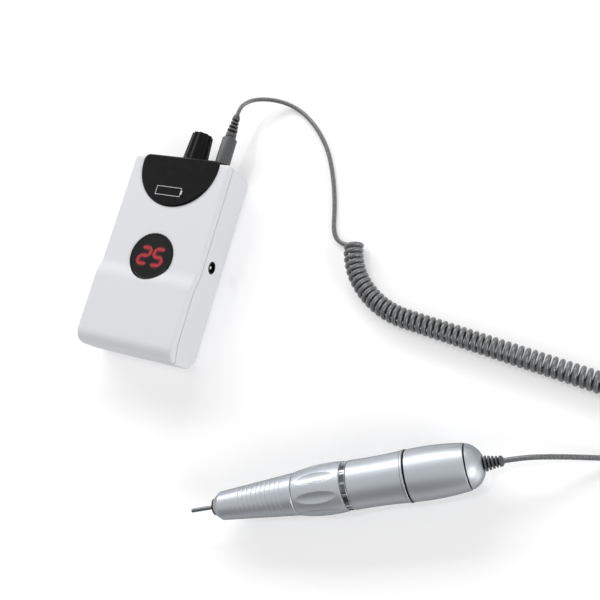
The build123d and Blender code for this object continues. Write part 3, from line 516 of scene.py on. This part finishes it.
def seamShadeStrip():
    # grey strip laid in the joint between the shells: painted shade of the gap
    side, end, corner, cornerSteps = seam["side"], seam["end"], seam["corner"], seam["cornerSteps"]
    path = []
    for quarter, (sx, sy) in enumerate(((1, 1), (-1, 1), (-1, -1), (1, -1))):
        for i in range(cornerSteps + 1):
            angle = pi / 2 * (quarter + i / cornerSteps)
            x = sx * (side - corner) + corner * cos(angle)
            y = sy * (end - corner) + corner * sin(angle)
            path.append((x, y, angle))
        if quarter % 2:
            reach = 2 * (end - corner)
            steps = int(reach / seam["spacing"])
            path += [(x, y - sy * reach * i / steps, angle) for i in range(1, steps)]
    bm = bmesh.new()
    rings = []
    for x, y, angle in path:
        z = seamHeight(y) - seam["top"]
        ring = []
        for inset, drop in ((0, 0), (0, 1), (1, 1), (1, 0)):
            away = seam["inset"] + inset * seam["depth"]
            place = (x - away * cos(angle), y - away * sin(angle), z - drop * seam["width"])
            ring.append(bm.verts.new([v * mm for v in place]))
        rings.append(ring)
    for ring, after in zip(rings, rings[1:] + rings[:1]):
        for k in range(4):
            bm.faces.new((ring[k], ring[(k + 1) % 4], after[(k + 1) % 4], after[k]))
    return meshPiece("seamShadeStrip", bm, finish["seam"])


# the grey strip is painted shade in the joint between the shells
dress(seamShadeStrip(), "control", "white_housing")
print("control box dressed")

digits = {
    "height": 12.6, "width": 9.0, "stroke": 1.9, "slant": 0.12, "spacing": 10.2, "centre": (0.0, -2.5),
    "lift": 0.02, "depth": 0.05, "haloSpread": 1.9,
}
segmentSets = {"2": "abged", "5": "afgcd"}


def segmentOutline(letter, spread):
    # a bar with pointed ends, in its own digit's millimetres, widened by the spread
    half, wide = digits["height"] / 2 + spread / 2, digits["width"] / 2 + spread / 2
    s = (digits["stroke"] + spread) / 2
    flat = {"a": half - s, "g": 0, "d": s - half}
    if letter in flat:
        y, x0, x1 = flat[letter], s - wide, wide - s
        return [(x0, y), (x0 + s, y + s), (x1 - s, y + s), (x1, y), (x1 - s, y - s), (x0 + s, y - s)]
    x = wide - s if letter in "bc" else s - wide
    y0, y1 = (0, half - s) if letter in "bf" else (s - half, 0)
    return [(x, y0), (x + s, y0 + s), (x + s, y1 - s), (x, y1), (x - s, y1 - s), (x - s, y0 + s)]


def litDigits(name, look, spread, layer):
    bm = bmesh.new()
    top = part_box("display_lens")[1].z + (digits["lift"] + digits["depth"] * layer) * mm
    for place, figure in enumerate("25"):
        middle = digits["centre"][0] + (place - 0.5) * digits["spacing"]
        for letter in segmentSets[figure]:
            corners = [
                ((middle + x + y * digits["slant"]) * mm, (digits["centre"][1] + y) * mm, top)
                for x, y in segmentOutline(letter, spread)
            ]
            face = bm.faces.new([bm.verts.new(c) for c in corners])
            solid = bmesh.ops.extrude_face_region(bm, geom=[face])
            lifted = [v for v in solid["geom"] if isinstance(v, bmesh.types.BMVert)]
            bmesh.ops.translate(bm, verts=lifted, vec=(0, 0, digits["depth"] * mm))
    return meshPiece(name, bm, finish[look])


dress(litDigits("digitHalo", "halo", digits["haloSpread"], 0), "control", "digit_housing")
dress(litDigits("litDigits", "lit", 0, 1), "control", "digit_housing")

gauge = {"centre": (-2.2, 41.5), "width": 19.0, "height": 6.0, "line": 0.32, "nub": (0.9, 2.6), "depth": 0.05}


def batteryGauge():
    # printed outline of a battery on the panel
    bm = bmesh.new()
    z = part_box("top_panel")[1].z
    (cx, cy), w, h, t = gauge["centre"], gauge["width"] / 2, gauge["height"] / 2, gauge["line"]
    nubWide, nubHigh = gauge["nub"]
    bars = [
        (-w, h - t, w, h), (-w, -h, w, t - h), (-w, t - h, t - w, h - t), (w - t, t - h, w, h - t),
        (w, -nubHigh / 2, w + nubWide, nubHigh / 2),
    ]
    for x0, y0, x1, y1 in bars:
        size = ((x1 - x0) * mm, (y1 - y0) * mm, gauge["depth"] * mm)
        middle = ((cx + (x0 + x1) / 2) * mm, (cy + (y0 + y1) / 2) * mm, z + gauge["depth"] * mm / 2)
        bmesh.ops.create_cube(bm, size=1, matrix=Matrix.Translation(middle) @ Matrix.Diagonal((*size, 1)))
    return meshPiece("batteryGauge", bm, finish["ink"])


dress(batteryGauge(), "control", "black_panel")
print("display and gauge made")

# Knob: fluted, tapered, rounded at the top and dished
knob = {
    "x": 0.5, "z": 14.5, "start": 66.1, "height": 21.5, "skirt": 1.8, "baseRadius": 8.6, "bodyRadius": 8.3,
    "topRadius": 7.0, "edge": 0.3, "neck": 0.05, "bodySteps": 14, "round": 0.7, "roundSteps": 8,
    "flutes": 10, "fluteDepth": 0.8, "fluteSharpness": 1.6, "fluteInner": 6.2, "recess": (5.6, 2.4),
    "dish": ((4.9, 0), (4.6, 0.35), (0.02, 0.4)), "axis": 0.02, "segments": 200, "sharp": 34,
}
alongKnob = alongY(knob["x"] * mm, knob["z"] * mm)


def knobShape(x, r, angle):
    if r < knob["fluteInner"] or x <= knob["start"] + knob["skirt"]:
        return r
    wave = abs(cos(knob["flutes"] * angle / 2)) ** knob["fluteSharpness"]
    return r - knob["fluteDepth"] * (1 - wave)


def knobPiece():
    start, top, edge, rounding = knob["start"], knob["start"] + knob["height"], knob["edge"], knob["round"]
    base, body, crown = knob["baseRadius"], knob["bodyRadius"], knob["topRadius"]
    skirt = start + knob["skirt"]
    neck = skirt + knob["neck"]
    recessRadius, recessDepth = knob["recess"]
    loop = [(start, recessRadius), (start, base - edge), (start + edge, base)]
    loop += [(skirt - edge, base), (skirt, body + knob["neck"]), (neck, body)]
    for i in range(1, knob["bodySteps"] + 1):
        share = i / knob["bodySteps"]
        loop.append((neck + (top - rounding - neck) * share, body + (crown - body) * share))
    for i in range(1, knob["roundSteps"] + 1):
        angle = pi / 2 * i / knob["roundSteps"]
        loop.append((top - rounding + rounding * sin(angle), crown - rounding * (1 - cos(angle))))
    loop += [(top - depth, radius) for radius, depth in knob["dish"]]
    loop += [(start + recessDepth, knob["axis"]), (start + recessDepth, recessRadius)]
    segments, sharp = knob["segments"], knob["sharp"]
    return turnedBand("speedKnob", loop, finish["knob"], alongKnob, segments, knobShape, sharp)


dress(knobPiece(), "knob", "black_knob", "speed_knob")
dress(smoothCopy("pot_shaft", finish["steel"]), "knob", "screw_steel", "pot_shaft")
print("knob made")

# Handpiece shells, all sizes in millimetres along the axis and away from it
nose = {
    "front": 0.8, "mouth": 4.7, "frontRadius": 5.0, "lip": (0.25, 0.3), "lining": 1.4, "bore": 6.0,
    "bevelEnd": 5.0, "bevelRadius": 8.0, "bevelBack": (0.5, 0.35), "bevelDip": 0.04, "coneStart": 0.6,
    "end": 51.2, "endRadius": 11.7, "coneStop": 0.4, "edge": 0.45, "edgeDip": 0.03, "sampling": 0.15,
    "grooveFirst": 18.0, "groovePitch": 2.9, "grooves": 10, "grooveDepth": 0.16, "grooveWidth": 1.4,
}
sleeve = {
    "start": 51.35, "crest": 68.0, "end": 79.8, "startRadius": 11.7, "crestRadius": 13.85, "endRadius": 13.3,
    "bore": 9.56, "edge": 0.4, "scallops": 8, "scallopX": 65.6, "scallopReach": 11.6, "scallopRadius": 8.0,
    "scallopDepth": 1.05, "steps": 90, "segments": 320, "sharp": 16,
}
barrel = {
    "front": [(83.4, 13.25), (97.0, 13.1), (113.35, 13.7)], "frontSteps": 30,
    "seam": [(113.4, 13.9), (113.65, 14.0), (114.45, 14.0), (114.6, 13.85)],
    "seal": [(114.6, 13.8), (114.85, 13.95), (115.2, 13.95), (115.4, 13.8)],
    "rear": [(115.45, 13.7), (130.0, 13.8), (146.3, 12.2)], "rearSteps": 40,
    "capGroove": [(146.0, 11.35), (147.3, 11.35)],
    "cap": [(147.1, 11.85), (151.6, 9.0), (154.2, 4.9)], "capSteps": 16,
    "capSeat": (146.4, 11.2), "capBore": 3.0, "bore": 11.0, "edge": (0.25, 0.3),
}


def grooveAt(x):
    # depth of the nose's grip rings at a place
    depth = 0
    for i in range(nose["grooves"]):
        away = abs(x - nose["grooveFirst"] - i * nose["groovePitch"]) / (nose["grooveWidth"] / 2)
        if away < 1:
            depth = nose["grooveDepth"] * (0.5 + 0.5 * cos(pi * away))
    return depth


def noseCone():
    front, frontRadius, mouth = nose["front"], nose["frontRadius"], nose["mouth"]
    bore, edge = nose["bore"], nose["edge"]
    bevelEnd, bevelRadius = nose["bevelEnd"], nose["bevelRadius"]
    end, endRadius = nose["end"], nose["endRadius"]
    slope = (endRadius - bevelRadius) / (end - bevelEnd)
    (lipLength, lipHeight), (backLength, backHeight) = nose["lip"], nose["bevelBack"]
    loop = [(front, mouth), (front, frontRadius - lipHeight), (front + lipLength, frontRadius)]
    loop += [(bevelEnd - backLength, bevelRadius - backHeight), (bevelEnd, bevelRadius - nose["bevelDip"])]
    x = bevelEnd + nose["coneStart"]
    while x < end - nose["coneStop"]:
        loop.append((x, bevelRadius + slope * (x - bevelEnd) - grooveAt(x)))
        x += nose["sampling"]
    loop += [(end - edge, endRadius - nose["edgeDip"]), (end, endRadius - edge), (end, bore)]
    loop += [(front + nose["lining"], bore), (front + nose["lining"], mouth)]
    return turnedBand("noseCone", loop, finish["silver"], alongHandpiece)


def sleeveShape(x, r, angle):
    step = 2 * pi / sleeve["scallops"]
    away = (angle - pi / 2) % step - step / 2
    share = (x - sleeve["scallopX"]) / sleeve["scallopReach"]
    if abs(share) >= 1:
        return r
    centre = r - sleeve["scallopDepth"] * (1 - share**2) + sleeve["scallopRadius"]
    inside = sleeve["scallopRadius"] ** 2 - (centre * sin(away)) ** 2
    if inside <= 0:
        return r
    return min(r, centre * cos(away) - sqrt(inside))


def lockSleeve():
    first, middle, last = [(sleeve[n], sleeve[n + "Radius"]) for n in ("start", "crest", "end")]
    loop = arcPoints(first, middle, last, sleeve["steps"])
    loop[0] = (first[0], first[1] - sleeve["edge"])
    loop[-1] = (last[0], last[1] - sleeve["edge"])
    loop += [(last[0], sleeve["bore"]), (first[0], sleeve["bore"])]
    segments, sharp = sleeve["segments"], sleeve["sharp"]
    return turnedBand("lockSleeve", loop, finish["silver"], alongHandpiece, segments, sleeveShape, sharp)


def barrelShell(name, side):
    # a turned shell whose two outer edges are broken
    (start, startRadius), (end, endRadius) = barrel[side][0], barrel[side][-1]
    outline = arcPoints(*barrel[side], barrel[side + "Steps"])
    (length, height), bore = barrel["edge"], barrel["bore"]
    loop = [(start, startRadius - height), (start + length, startRadius)] + outline[1:-1]
    loop += [(end - length, endRadius), (end, endRadius - height), (end, bore), (start, bore)]
    return turnedBand(name, loop, finish["silver"], alongHandpiece)


def rearCap():
    outline, (seat, neck), bore = barrel["cap"], barrel["capSeat"], barrel["capBore"]
    loop = [(seat, neck), (outline[0][0], neck)] + arcPoints(*outline, barrel["capSteps"])
    loop += [(outline[-1][0], bore), (seat, bore)]
    return turnedBand("rearCap", loop, finish["silver"], alongHandpiece)


def thinBand(name, outline, material):
    # a seam, a seal or the floor of a groove, down to the shells' bore; the black floor of a groove is
    # painted shade
    loop = outline + [(outline[-1][0], barrel["bore"]), (outline[0][0], barrel["bore"])]
    return turnedBand(name, loop, material, alongHandpiece)


dress(noseCone(), "control", "satin_silver", "nose_cone")
dress(lockSleeve(), "lock_sleeve", "satin_silver", "lock_sleeve")
dress(barrelShell("frontBarrel", "front"), "control", "satin_silver", "motor_housing_front")
dress(barrelShell("rearBarrel", "rear"), "control", "satin_silver", "motor_housing_rear")
dress(rearCap(), "control", "satin_silver", "end_cap")
dress(thinBand("seamBand", barrel["seam"], finish["silver"]), "control", "satin_silver", "seam_ring")
dress(thinBand("seamSeal", barrel["seal"], finish["knob"]), "control", "black_knob", "seam_ring")
# the cap groove's floor in matt black: painted shade in the groove
dress(thinBand("capGrooveShade", barrel["capGroove"], finish["knob"]), "control", "black_knob", "end_cap")
dress(smoothCopy("nose_ring", finish["blackGloss"]), "control", "dark_ring", "nose_ring")
barredRing = {
    "start": 80.0, "end": 83.2, "radius": 13.15, "bore": 11.0, "edge": 0.2, "windows": 12, "bridge": 6.0,
    "windowStart": 80.35, "windowEnd": 82.85, "windowDepth": 0.35, "wall": 0.02, "floorReach": (12.0, 13.05),
    "segments": 360,
}


def ringShape(x, r, angle):
    # long shallow windows with narrow bridges between them, the bridges at whole steps
    step = 2 * pi / barredRing["windows"]
    away = abs((angle + step / 2) % step - step / 2)
    betweenEdges = barredRing["windowStart"] < x < barredRing["windowEnd"]
    inWindow = betweenEdges and away > radians(barredRing["bridge"]) / 2 and r == barredRing["radius"]
    return r - barredRing["windowDepth"] if inWindow else r


def indexRing():
    start, end, radius, bore = [barredRing[n] for n in ("start", "end", "radius", "bore")]
    windowStart, windowEnd = barredRing["windowStart"], barredRing["windowEnd"]
    edge, wall = barredRing["edge"], barredRing["wall"]
    loop = [(start, radius - edge), (start + edge, radius)]
    for x in (windowStart, windowEnd):
        loop += [(x - wall, radius), (x + wall, radius)]
    loop += [(end - edge, radius), (end, radius - edge), (end, bore), (start, bore)]
    item = turnedBand("indexRing", loop, finish["steel"], alongHandpiece, barredRing["segments"], ringShape)
    item.data.materials.append(finish["darkRing"])
    toAxis = alongHandpiece.inverted()
    nearest, farthest = barredRing["floorReach"]
    for face in item.data.polygons:
        x, y, z = toAxis @ face.center
        if nearest < sqrt(y**2 + z**2) < farthest and windowStart < x < windowEnd:
            face.material_index = 1
    return item


dress(indexRing(), "control", "dark_ring", "index_ring")
dress(smoothCopy("tool_shank", finish["toolSteel"]), "tool", "bearing_steel", "tool_shank")
print("handpiece shells made")


# Ribs of the strain reliefs, placed along a line by geometry nodes
ribSizes = {
    "Rib Count": ("NodeSocketInt", 5),
    "Pitch": ("NodeSocketFloat", 1.0),
    "Base Radius": ("NodeSocketFloat", 4.0),
    "Tip Radius": ("NodeSocketFloat", 2.5),
    "Rib Thickness": ("NodeSocketFloat", 1.0),
}
# one rib of radius 1, scaled to its place: its middle line, its height and its rounding
unitRib = {"middle": 0.8, "height": 0.4, "rounding": 0.08, "roundSteps": 4, "segments": 64, "sharp": 34}


def ribTree(material):
    tree = bpy.data.node_groups.new("ribsAlongLine", "GeometryNodeTree")
    interface = tree.interface
    interface.new_socket("Geometry", in_out="OUTPUT", socket_type="NodeSocketGeometry")
    keys = {}
    for name, (kind, value) in ribSizes.items():
        socket = interface.new_socket(name, in_out="INPUT", socket_type=kind)
        socket.default_value = value
        keys[name] = socket.identifier
    given = addNode(tree, "NodeGroupInput").outputs
    step = addNode(tree, "ShaderNodeCombineXYZ", links={"X": given["Pitch"]})
    line = addNode(tree, "GeometryNodeMeshLine", links={"Count": given["Rib Count"], "Offset": step})
    last = addNode(tree, "ShaderNodeMath", {"operation": "SUBTRACT"}, {1: 1.0}, {0: given["Rib Count"]})
    index = addNode(tree, "GeometryNodeInputIndex")
    share = addNode(tree, "ShaderNodeMath", {"operation": "DIVIDE"}, links={0: index, 1: last})
    taper = {"Value": share, "To Min": given["Base Radius"], "To Max": given["Tip Radius"]}
    radius = addNode(tree, "ShaderNodeMapRange", links=taper)
    circle = {"Resolution": unitRib["segments"], "Radius": unitRib["middle"]}
    outline = addNode(tree, "GeometryNodeCurvePrimitiveCircle", inputs=circle)
    section = addNode(tree, "GeometryNodeCurvePrimitiveQuadrilateral", inputs={"Width": unitRib["height"]})
    tree.links.new(given["Rib Thickness"], section.inputs["Height"])
    corner = {"Count": unitRib["roundSteps"], "Radius": unitRib["rounding"]}
    rounded = addNode(tree, "GeometryNodeFilletCurve", {"mode": "POLY"}, corner, {"Curve": section})
    band = addNode(tree, "GeometryNodeCurveToMesh", links={"Curve": outline, "Profile Curve": rounded})
    across = {"Rotation": (0, pi / 2, 0)}
    upright = addNode(tree, "GeometryNodeTransform", inputs=across, links={"Geometry": band})
    size = addNode(tree, "ShaderNodeCombineXYZ", inputs={"X": 1.0}, links={"Y": radius, "Z": radius})
    placed = {"Points": line, "Instance": upright, "Scale": size}
    copies = addNode(tree, "GeometryNodeInstanceOnPoints", links=placed)
    real = addNode(tree, "GeometryNodeRealizeInstances", links={"Geometry": copies})
    smooth = addNode(tree, "GeometryNodeSetShadeSmooth", links={"Geometry": real})
    painted = addNode(tree, "GeometryNodeSetMaterial", links={"Geometry": smooth})
    painted.inputs["Material"].default_value = material
    addNode(tree, "NodeGroupOutput", links={"Geometry": painted})
    return tree, keys


def fromTree(name, tree, keys, values, place):
    holder = bpy.data.objects.new(name + "Holder", bpy.data.meshes.new(name + "Holder"))
    scene.collection.objects.link(holder)
    modifier = holder.modifiers.new("geometry", "NODES")
    modifier.node_group = tree
    for label, value in values.items():
        modifier[keys[label]] = value
    bpy.context.view_layer.update()
    graph = bpy.context.evaluated_depsgraph_get()
    mesh = bpy.data.meshes.new_from_object(holder.evaluated_get(graph), depsgraph=graph)
    holder.modifiers.remove(modifier)
    bpy.data.objects.remove(holder)
    mesh.name = name
    mesh.transform(place)
    mesh.set_sharp_from_angle(angle=radians(unitRib["sharp"]))
    item = bpy.data.objects.new(name, mesh)
    scene.collection.objects.link(item)
    return item


ribs, ribKeys = ribTree(finish["plug"])
gripBoot = {"start": 154.2, "length": 10.5, "base": 4.2, "tip": 2.9, "ribs": 4, "collar": 0.0, "end": 2.2}
plugBoot = {"start": 87.9, "length": 16.2, "base": 3.5, "tip": 2.5, "ribs": 3, "collar": 3.2, "end": 3.8}
bootForm = {
    "bore": 0.9, "overlap": 1, "coreRadii": (2.4, 1.9), "segments": 64,
    "openShare": 0.5, "ribBaseSink": 0.15, "ribTipRise": 0.1,
    "tipEdge": (0.15, 0.1), "tipBendShare": 0.55, "tipMiddleShare": 0.85, "tipWall": 0.15, "tipSteps": 6,
    "collarGap": 0.35, "collarFront": (0.2, 0.2), "collarBack": (0.15, 0.1), "collarEnd": 0.25,
}
plugX, _, plugHeight = cordRoute["plugTip"]
alongPlug = alongY(plugX, plugHeight)


def bootTip(boot, last):
    # plain end of a boot, rounded down to the cord
    bore, end, radius = bootForm["bore"], last + boot["end"], cordRoute["diameter"] / mm / 2
    edgeLength, edgeHeight = bootForm["tipEdge"]
    bend = (last + boot["end"] * bootForm["tipBendShare"], boot["tip"] - edgeHeight)
    middle = (last + boot["end"] * bootForm["tipMiddleShare"], (boot["tip"] + radius) / 2)
    loop = [(last, bore), (last, boot["tip"] - edgeHeight), (last + edgeLength, boot["tip"])]
    loop += arcPoints(bend, middle, (end, radius + bootForm["tipWall"]), bootForm["tipSteps"])
    return loop + [(end, bore)]


def bootCollar(boot):
    # smooth collar before the ribs
    bore, base, start = bootForm["bore"], boot["base"], boot["start"] + bootForm["collarGap"]
    end = boot["start"] + boot["collar"]
    (frontLength, frontHeight), (backLength, backHeight) = bootForm["collarFront"], bootForm["collarBack"]
    loop = [(start, bore), (start, base - frontHeight), (start + frontLength, base)]
    return loop + [(end - backLength, base - backHeight), (end, base - bootForm["collarEnd"]), (end, bore)]


def bootPieces(name, boot, place, slotName, node):
    first, last = boot["start"] + boot["collar"], boot["start"] + boot["length"] - boot["end"]
    pitch = (last - first) / (boot["ribs"] + bootForm["openShare"])
    values = {
        "Rib Count": boot["ribs"],
        "Pitch": pitch,
        "Base Radius": boot["base"] - bootForm["ribBaseSink"],
        "Tip Radius": boot["tip"] + bootForm["ribTipRise"],
        "Rib Thickness": pitch * (1 - bootForm["openShare"]),
    }
    shift = place @ Matrix.Translation((first + pitch * (1 + bootForm["openShare"]) / 2, 0, 0))
    pieces = [dress(fromTree(name + "Ribs", ribs, ribKeys, values, shift), "control", slotName, node)]
    begin, bore = boot["start"] - bootForm["overlap"], bootForm["bore"]
    coreBase, coreTip = bootForm["coreRadii"]
    core = [(begin, bore), (begin, coreBase), (last, coreTip), (last, bore)]
    # the core between the ribs is matt black: painted shade in the gaps between the ribs
    shapes = {"PaintedShadeCore": (core, "knob"), "Tip": (bootTip(boot, last), "plug")}
    if boot["collar"]:
        shapes["Collar"] = (bootCollar(boot), "plug")
    for part, (loop, look) in shapes.items():
        piece = turnedBand(name + part, loop, finish[look], place, bootForm["segments"])
        pieces.append(dress(piece, "control", slotName))
    return pieces


handpieceBoot = bootPieces("handpieceBoot", gripBoot, alongHandpiece, "grey_cord", "handpiece_boot")
plugBootPieces = bootPieces("plugBoot", plugBoot, alongPlug, "grey_cord", "plug_boot")

plug = {
    "start": 67.9, "end": 87.9, "radius": 4.9, "bore": 1.2, "edge": 0.4, "shoulder": 1.2,
    "shoulderEdge": (0.3, 0.15), "tail": 0.2, "segments": 96,
}


def plugBody():
    start, end, radius, shoulder = plug["start"], plug["end"], plug["radius"], plug["shoulder"]
    bore, edge, tail = plug["bore"], plug["edge"], plug["tail"]
    edgeLength, edgeHeight = plug["shoulderEdge"]
    loop = [(start, bore), (start, radius - edge), (start + edge, radius)]
    loop += [(end - shoulder - edgeLength, radius), (end - shoulder, radius - edgeHeight)]
    loop += [(end - tail, radius - shoulder), (end, radius - shoulder - tail), (end, bore)]
    return turnedBand("plugBody", loop, finish["plug"], alongPlug, plug["segments"])


plugPiece = dress(plugBody(), "control", "grey_cord", "plug_body")
print("plug and boots made")

# The cord, on the control body in place of the CAD cord pieces
dress(cordPiece, "control", "grey_cord", "cord_lead", "cord_coil", "cord_tail")

# Pieces inside the housings, seen when a part is taken off
innerLooks = {
    "steel": [
        "grip_tube", "bearing_spacer", "bearing_outer_rings", "bearing_inner_rings", "spindle_tube",
        "spindle_nut", "drive_coupling", "armature_shaft", "motor_end_plate", "motor_can", "collet",
        "cross_pin", "push_collar", "collet_spring", "brush_springs", "board_screws", "potentiometer",
    ],
    "brightSteel": ["battery_tabs", "plug_pin"],
    "knob": [
        "board_header", "battery_tray", "output_socket", "brush_holder", "digit_block", "brushes",
        "motor_magnets",
    ],
    "laminate": ["display_board", "main_board"],
    "wrap": ["battery_cells"],
    "copper": ["armature_windings", "commutator"],
    "resin": ["bearing_cages"],
    "iron": ["armature_core"],
}


# each finish: the material's name, two colours, metallic and roughness
innerFinishes = {
    "laminate": ("epoxyLaminate", "#0F4A26", "#145A30", 0, 0.35),  # green solder mask on glass epoxy
    "wrap": ("shrinkWrap", "#1C4E9E", "#2459AB", 0, 0.3),  # blue film shrunk round the cells
    "copper": ("enamelledCopper", "#B0643A", "#C27648", 1, 0.3),  # wire under clear enamel
    "resin": ("phenolicResin", "#5A3A20", "#6A4628", 0, 0.5),  # brown cloth-filled resin, turned
    "iron": ("laminatedIron", "#55585B", "#66696C", 1, 0.4),  # stamped sheets, dull
}


def innerMaterial(name, low, high, metallic, rough):
    material, tree, shader = newMaterial(name)
    shader.inputs["Metallic"].default_value = metallic
    noise = grainBump(tree, shader, size=0.6, strength=0.1, height=0.02)
    tintedBy(tree, shader, noise, low, high)
    tintedBy(tree, shader, noise, rough, rough + 0.1, socket="Roughness")
    return material


for look, given in innerFinishes.items():
    finish[look] = innerMaterial(*given)
for look, nodes in innerLooks.items():
    for node in nodes:
        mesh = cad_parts[node].data
        mesh.materials.clear()
        mesh.materials.append(finish[look])
print("inner pieces painted")


# Studio: glossy white sweep, white to the camera, plain soft lamps
studio = {
    "floorHalf": 3.0, "worldLevel": 0.32, "floorGlow": 0.31, "floorFade": (0.5, 1.6),
    # round patches of the world, with their reach in degrees and their level
    "roomBehind": {"toward": (0.09, -0.98, 0.17), "reach": (30, 52), "level": 0.25},
    "lowBounce": {"toward": (0.0, -0.97, 0.24), "reach": (15, 60), "level": 0.85},
    "key": {"place": (-1.04, 1.18, 0.97), "aim": (-0.39, -0.34, 0.01), "size": (2.4, 0.45), "power": 30},
    "fill": {"place": (2.35, -0.45, 0.95), "aim": (0.1, 0, 0), "size": (1.4, 1.0), "power": 30},
}
white = (1, 1, 1, 1)


def seenDirectly(tree):
    # 1 for what the camera sees, also in gloss and through glass
    path = addNode(tree, "ShaderNodeLightPath").outputs
    straight = {0: path["Is Camera Ray"], 1: path["Is Glossy Ray"]}
    seen = addNode(tree, "ShaderNodeMath", {"operation": "MAXIMUM"}, links=straight)
    through = {0: seen, 1: path["Is Transmission Ray"]}
    return addNode(tree, "ShaderNodeMath", {"operation": "MAXIMUM"}, links=through)


def farFloor(tree):
    # the far floor fades into the white background, for the camera alone
    place = addNode(tree, "ShaderNodeTexCoord").outputs["Object"]
    away = addNode(tree, "ShaderNodeVectorMath", {"operation": "LENGTH"}, links={0: place}).outputs["Value"]
    near, far = studio["floorFade"]
    reach = {"From Min": near, "From Max": far}
    fade = addNode(tree, "ShaderNodeMapRange", {"interpolation_type": "SMOOTHSTEP"}, reach, {"Value": away})
    toCamera = addNode(tree, "ShaderNodeLightPath").outputs["Is Camera Ray"]
    return addNode(tree, "ShaderNodeMath", {"operation": "MULTIPLY"}, links={0: fade, 1: toCamera})


def whiteSweep():
    # white acrylic sheet: pale, with a faint reflection of what lies on it
    material, tree, shader = newMaterial("whiteSweep")
    shader.inputs["Base Color"].default_value = toLinear("#E7E7E8")
    shader.inputs["Roughness"].default_value = 0.1
    shader.inputs["IOR"].default_value = 1.9
    glow = addNode(tree, "ShaderNodeEmission", inputs={"Color": white})
    glowing = {0: seenDirectly(tree), 2: farFloor(tree)}
    level = addNode(tree, "ShaderNodeMath", {"operation": "MULTIPLY_ADD"}, {1: studio["floorGlow"]}, glowing)
    tree.links.new(level.outputs[0], glow.inputs["Strength"])
    both = addNode(tree, "ShaderNodeAddShader", links={0: shader, 1: glow})
    tree.links.new(both.outputs["Shader"], tree.nodes["Material Output"].inputs["Surface"])
    return material


def floorPiece():
    bm = bmesh.new()
    bmesh.ops.create_grid(bm, x_segments=1, y_segments=1, size=studio["floorHalf"])
    floor = meshPiece("studioFloor", bm, whiteSweep())


def worldPatch(tree, patch, elsewhere):
    # a soft round patch of the world at its own level
    place = addNode(tree, "ShaderNodeTexCoord").outputs["Object"]
    toward = addNode(tree, "ShaderNodeVectorMath", {"operation": "DOT_PRODUCT"}, links={0: place})
    toward.inputs[1].default_value = patch["toward"]
    inner, outer = [cos(radians(angle)) for angle in patch["reach"]]
    levels = {"From Min": outer, "From Max": inner, "To Min": elsewhere, "To Max": patch["level"]}
    return addNode(tree, "ShaderNodeMapRange", {"interpolation_type": "SMOOTHSTEP"}, levels,
                   {"Value": toward.outputs["Value"]})


def worldLight():
    world = bpy.data.worlds.new("studio")
    scene.world = world
    world.use_nodes = True
    tree = world.node_tree
    tree.nodes.clear()
    gloss = addNode(tree, "ShaderNodeLightPath").outputs["Is Glossy Ray"]
    # the camera sees plain white, and metal the dark room behind the camera too
    darkRoom = {"Value": gloss, "To Max": worldPatch(tree, studio["roomBehind"], 1.0)}
    inGloss = addNode(tree, "ShaderNodeMapRange", inputs={"To Min": 1.0}, links=darkRoom)
    lit = worldPatch(tree, studio["lowBounce"], studio["worldLevel"])
    levels = {"Value": seenDirectly(tree), "To Min": lit, "To Max": inGloss}
    level = addNode(tree, "ShaderNodeMapRange", links=levels)
    light = addNode(tree, "ShaderNodeBackground", inputs={"Color": white}, links={"Strength": level})
    addNode(tree, "ShaderNodeOutputWorld", links={"Surface": light})


def softLamp(name):
    given = studio[name]
    data = bpy.data.lights.new(name + "Lamp", "AREA")
    data.shape = "RECTANGLE"
    data.size, data.size_y = given["size"]
    data.energy = given["power"]
    lamp = bpy.data.objects.new(name + "Lamp", data)
    lamp.location = given["place"]
    lamp.rotation_euler = (Vector(given["aim"]) - lamp.location).to_track_quat("-Z", "Y").to_euler()
    scene.collection.objects.link(lamp)


floorPiece()
worldLight()
softLamp("key")
softLamp("fill")
scene.view_settings.view_transform = "Standard"
print("studio lit")
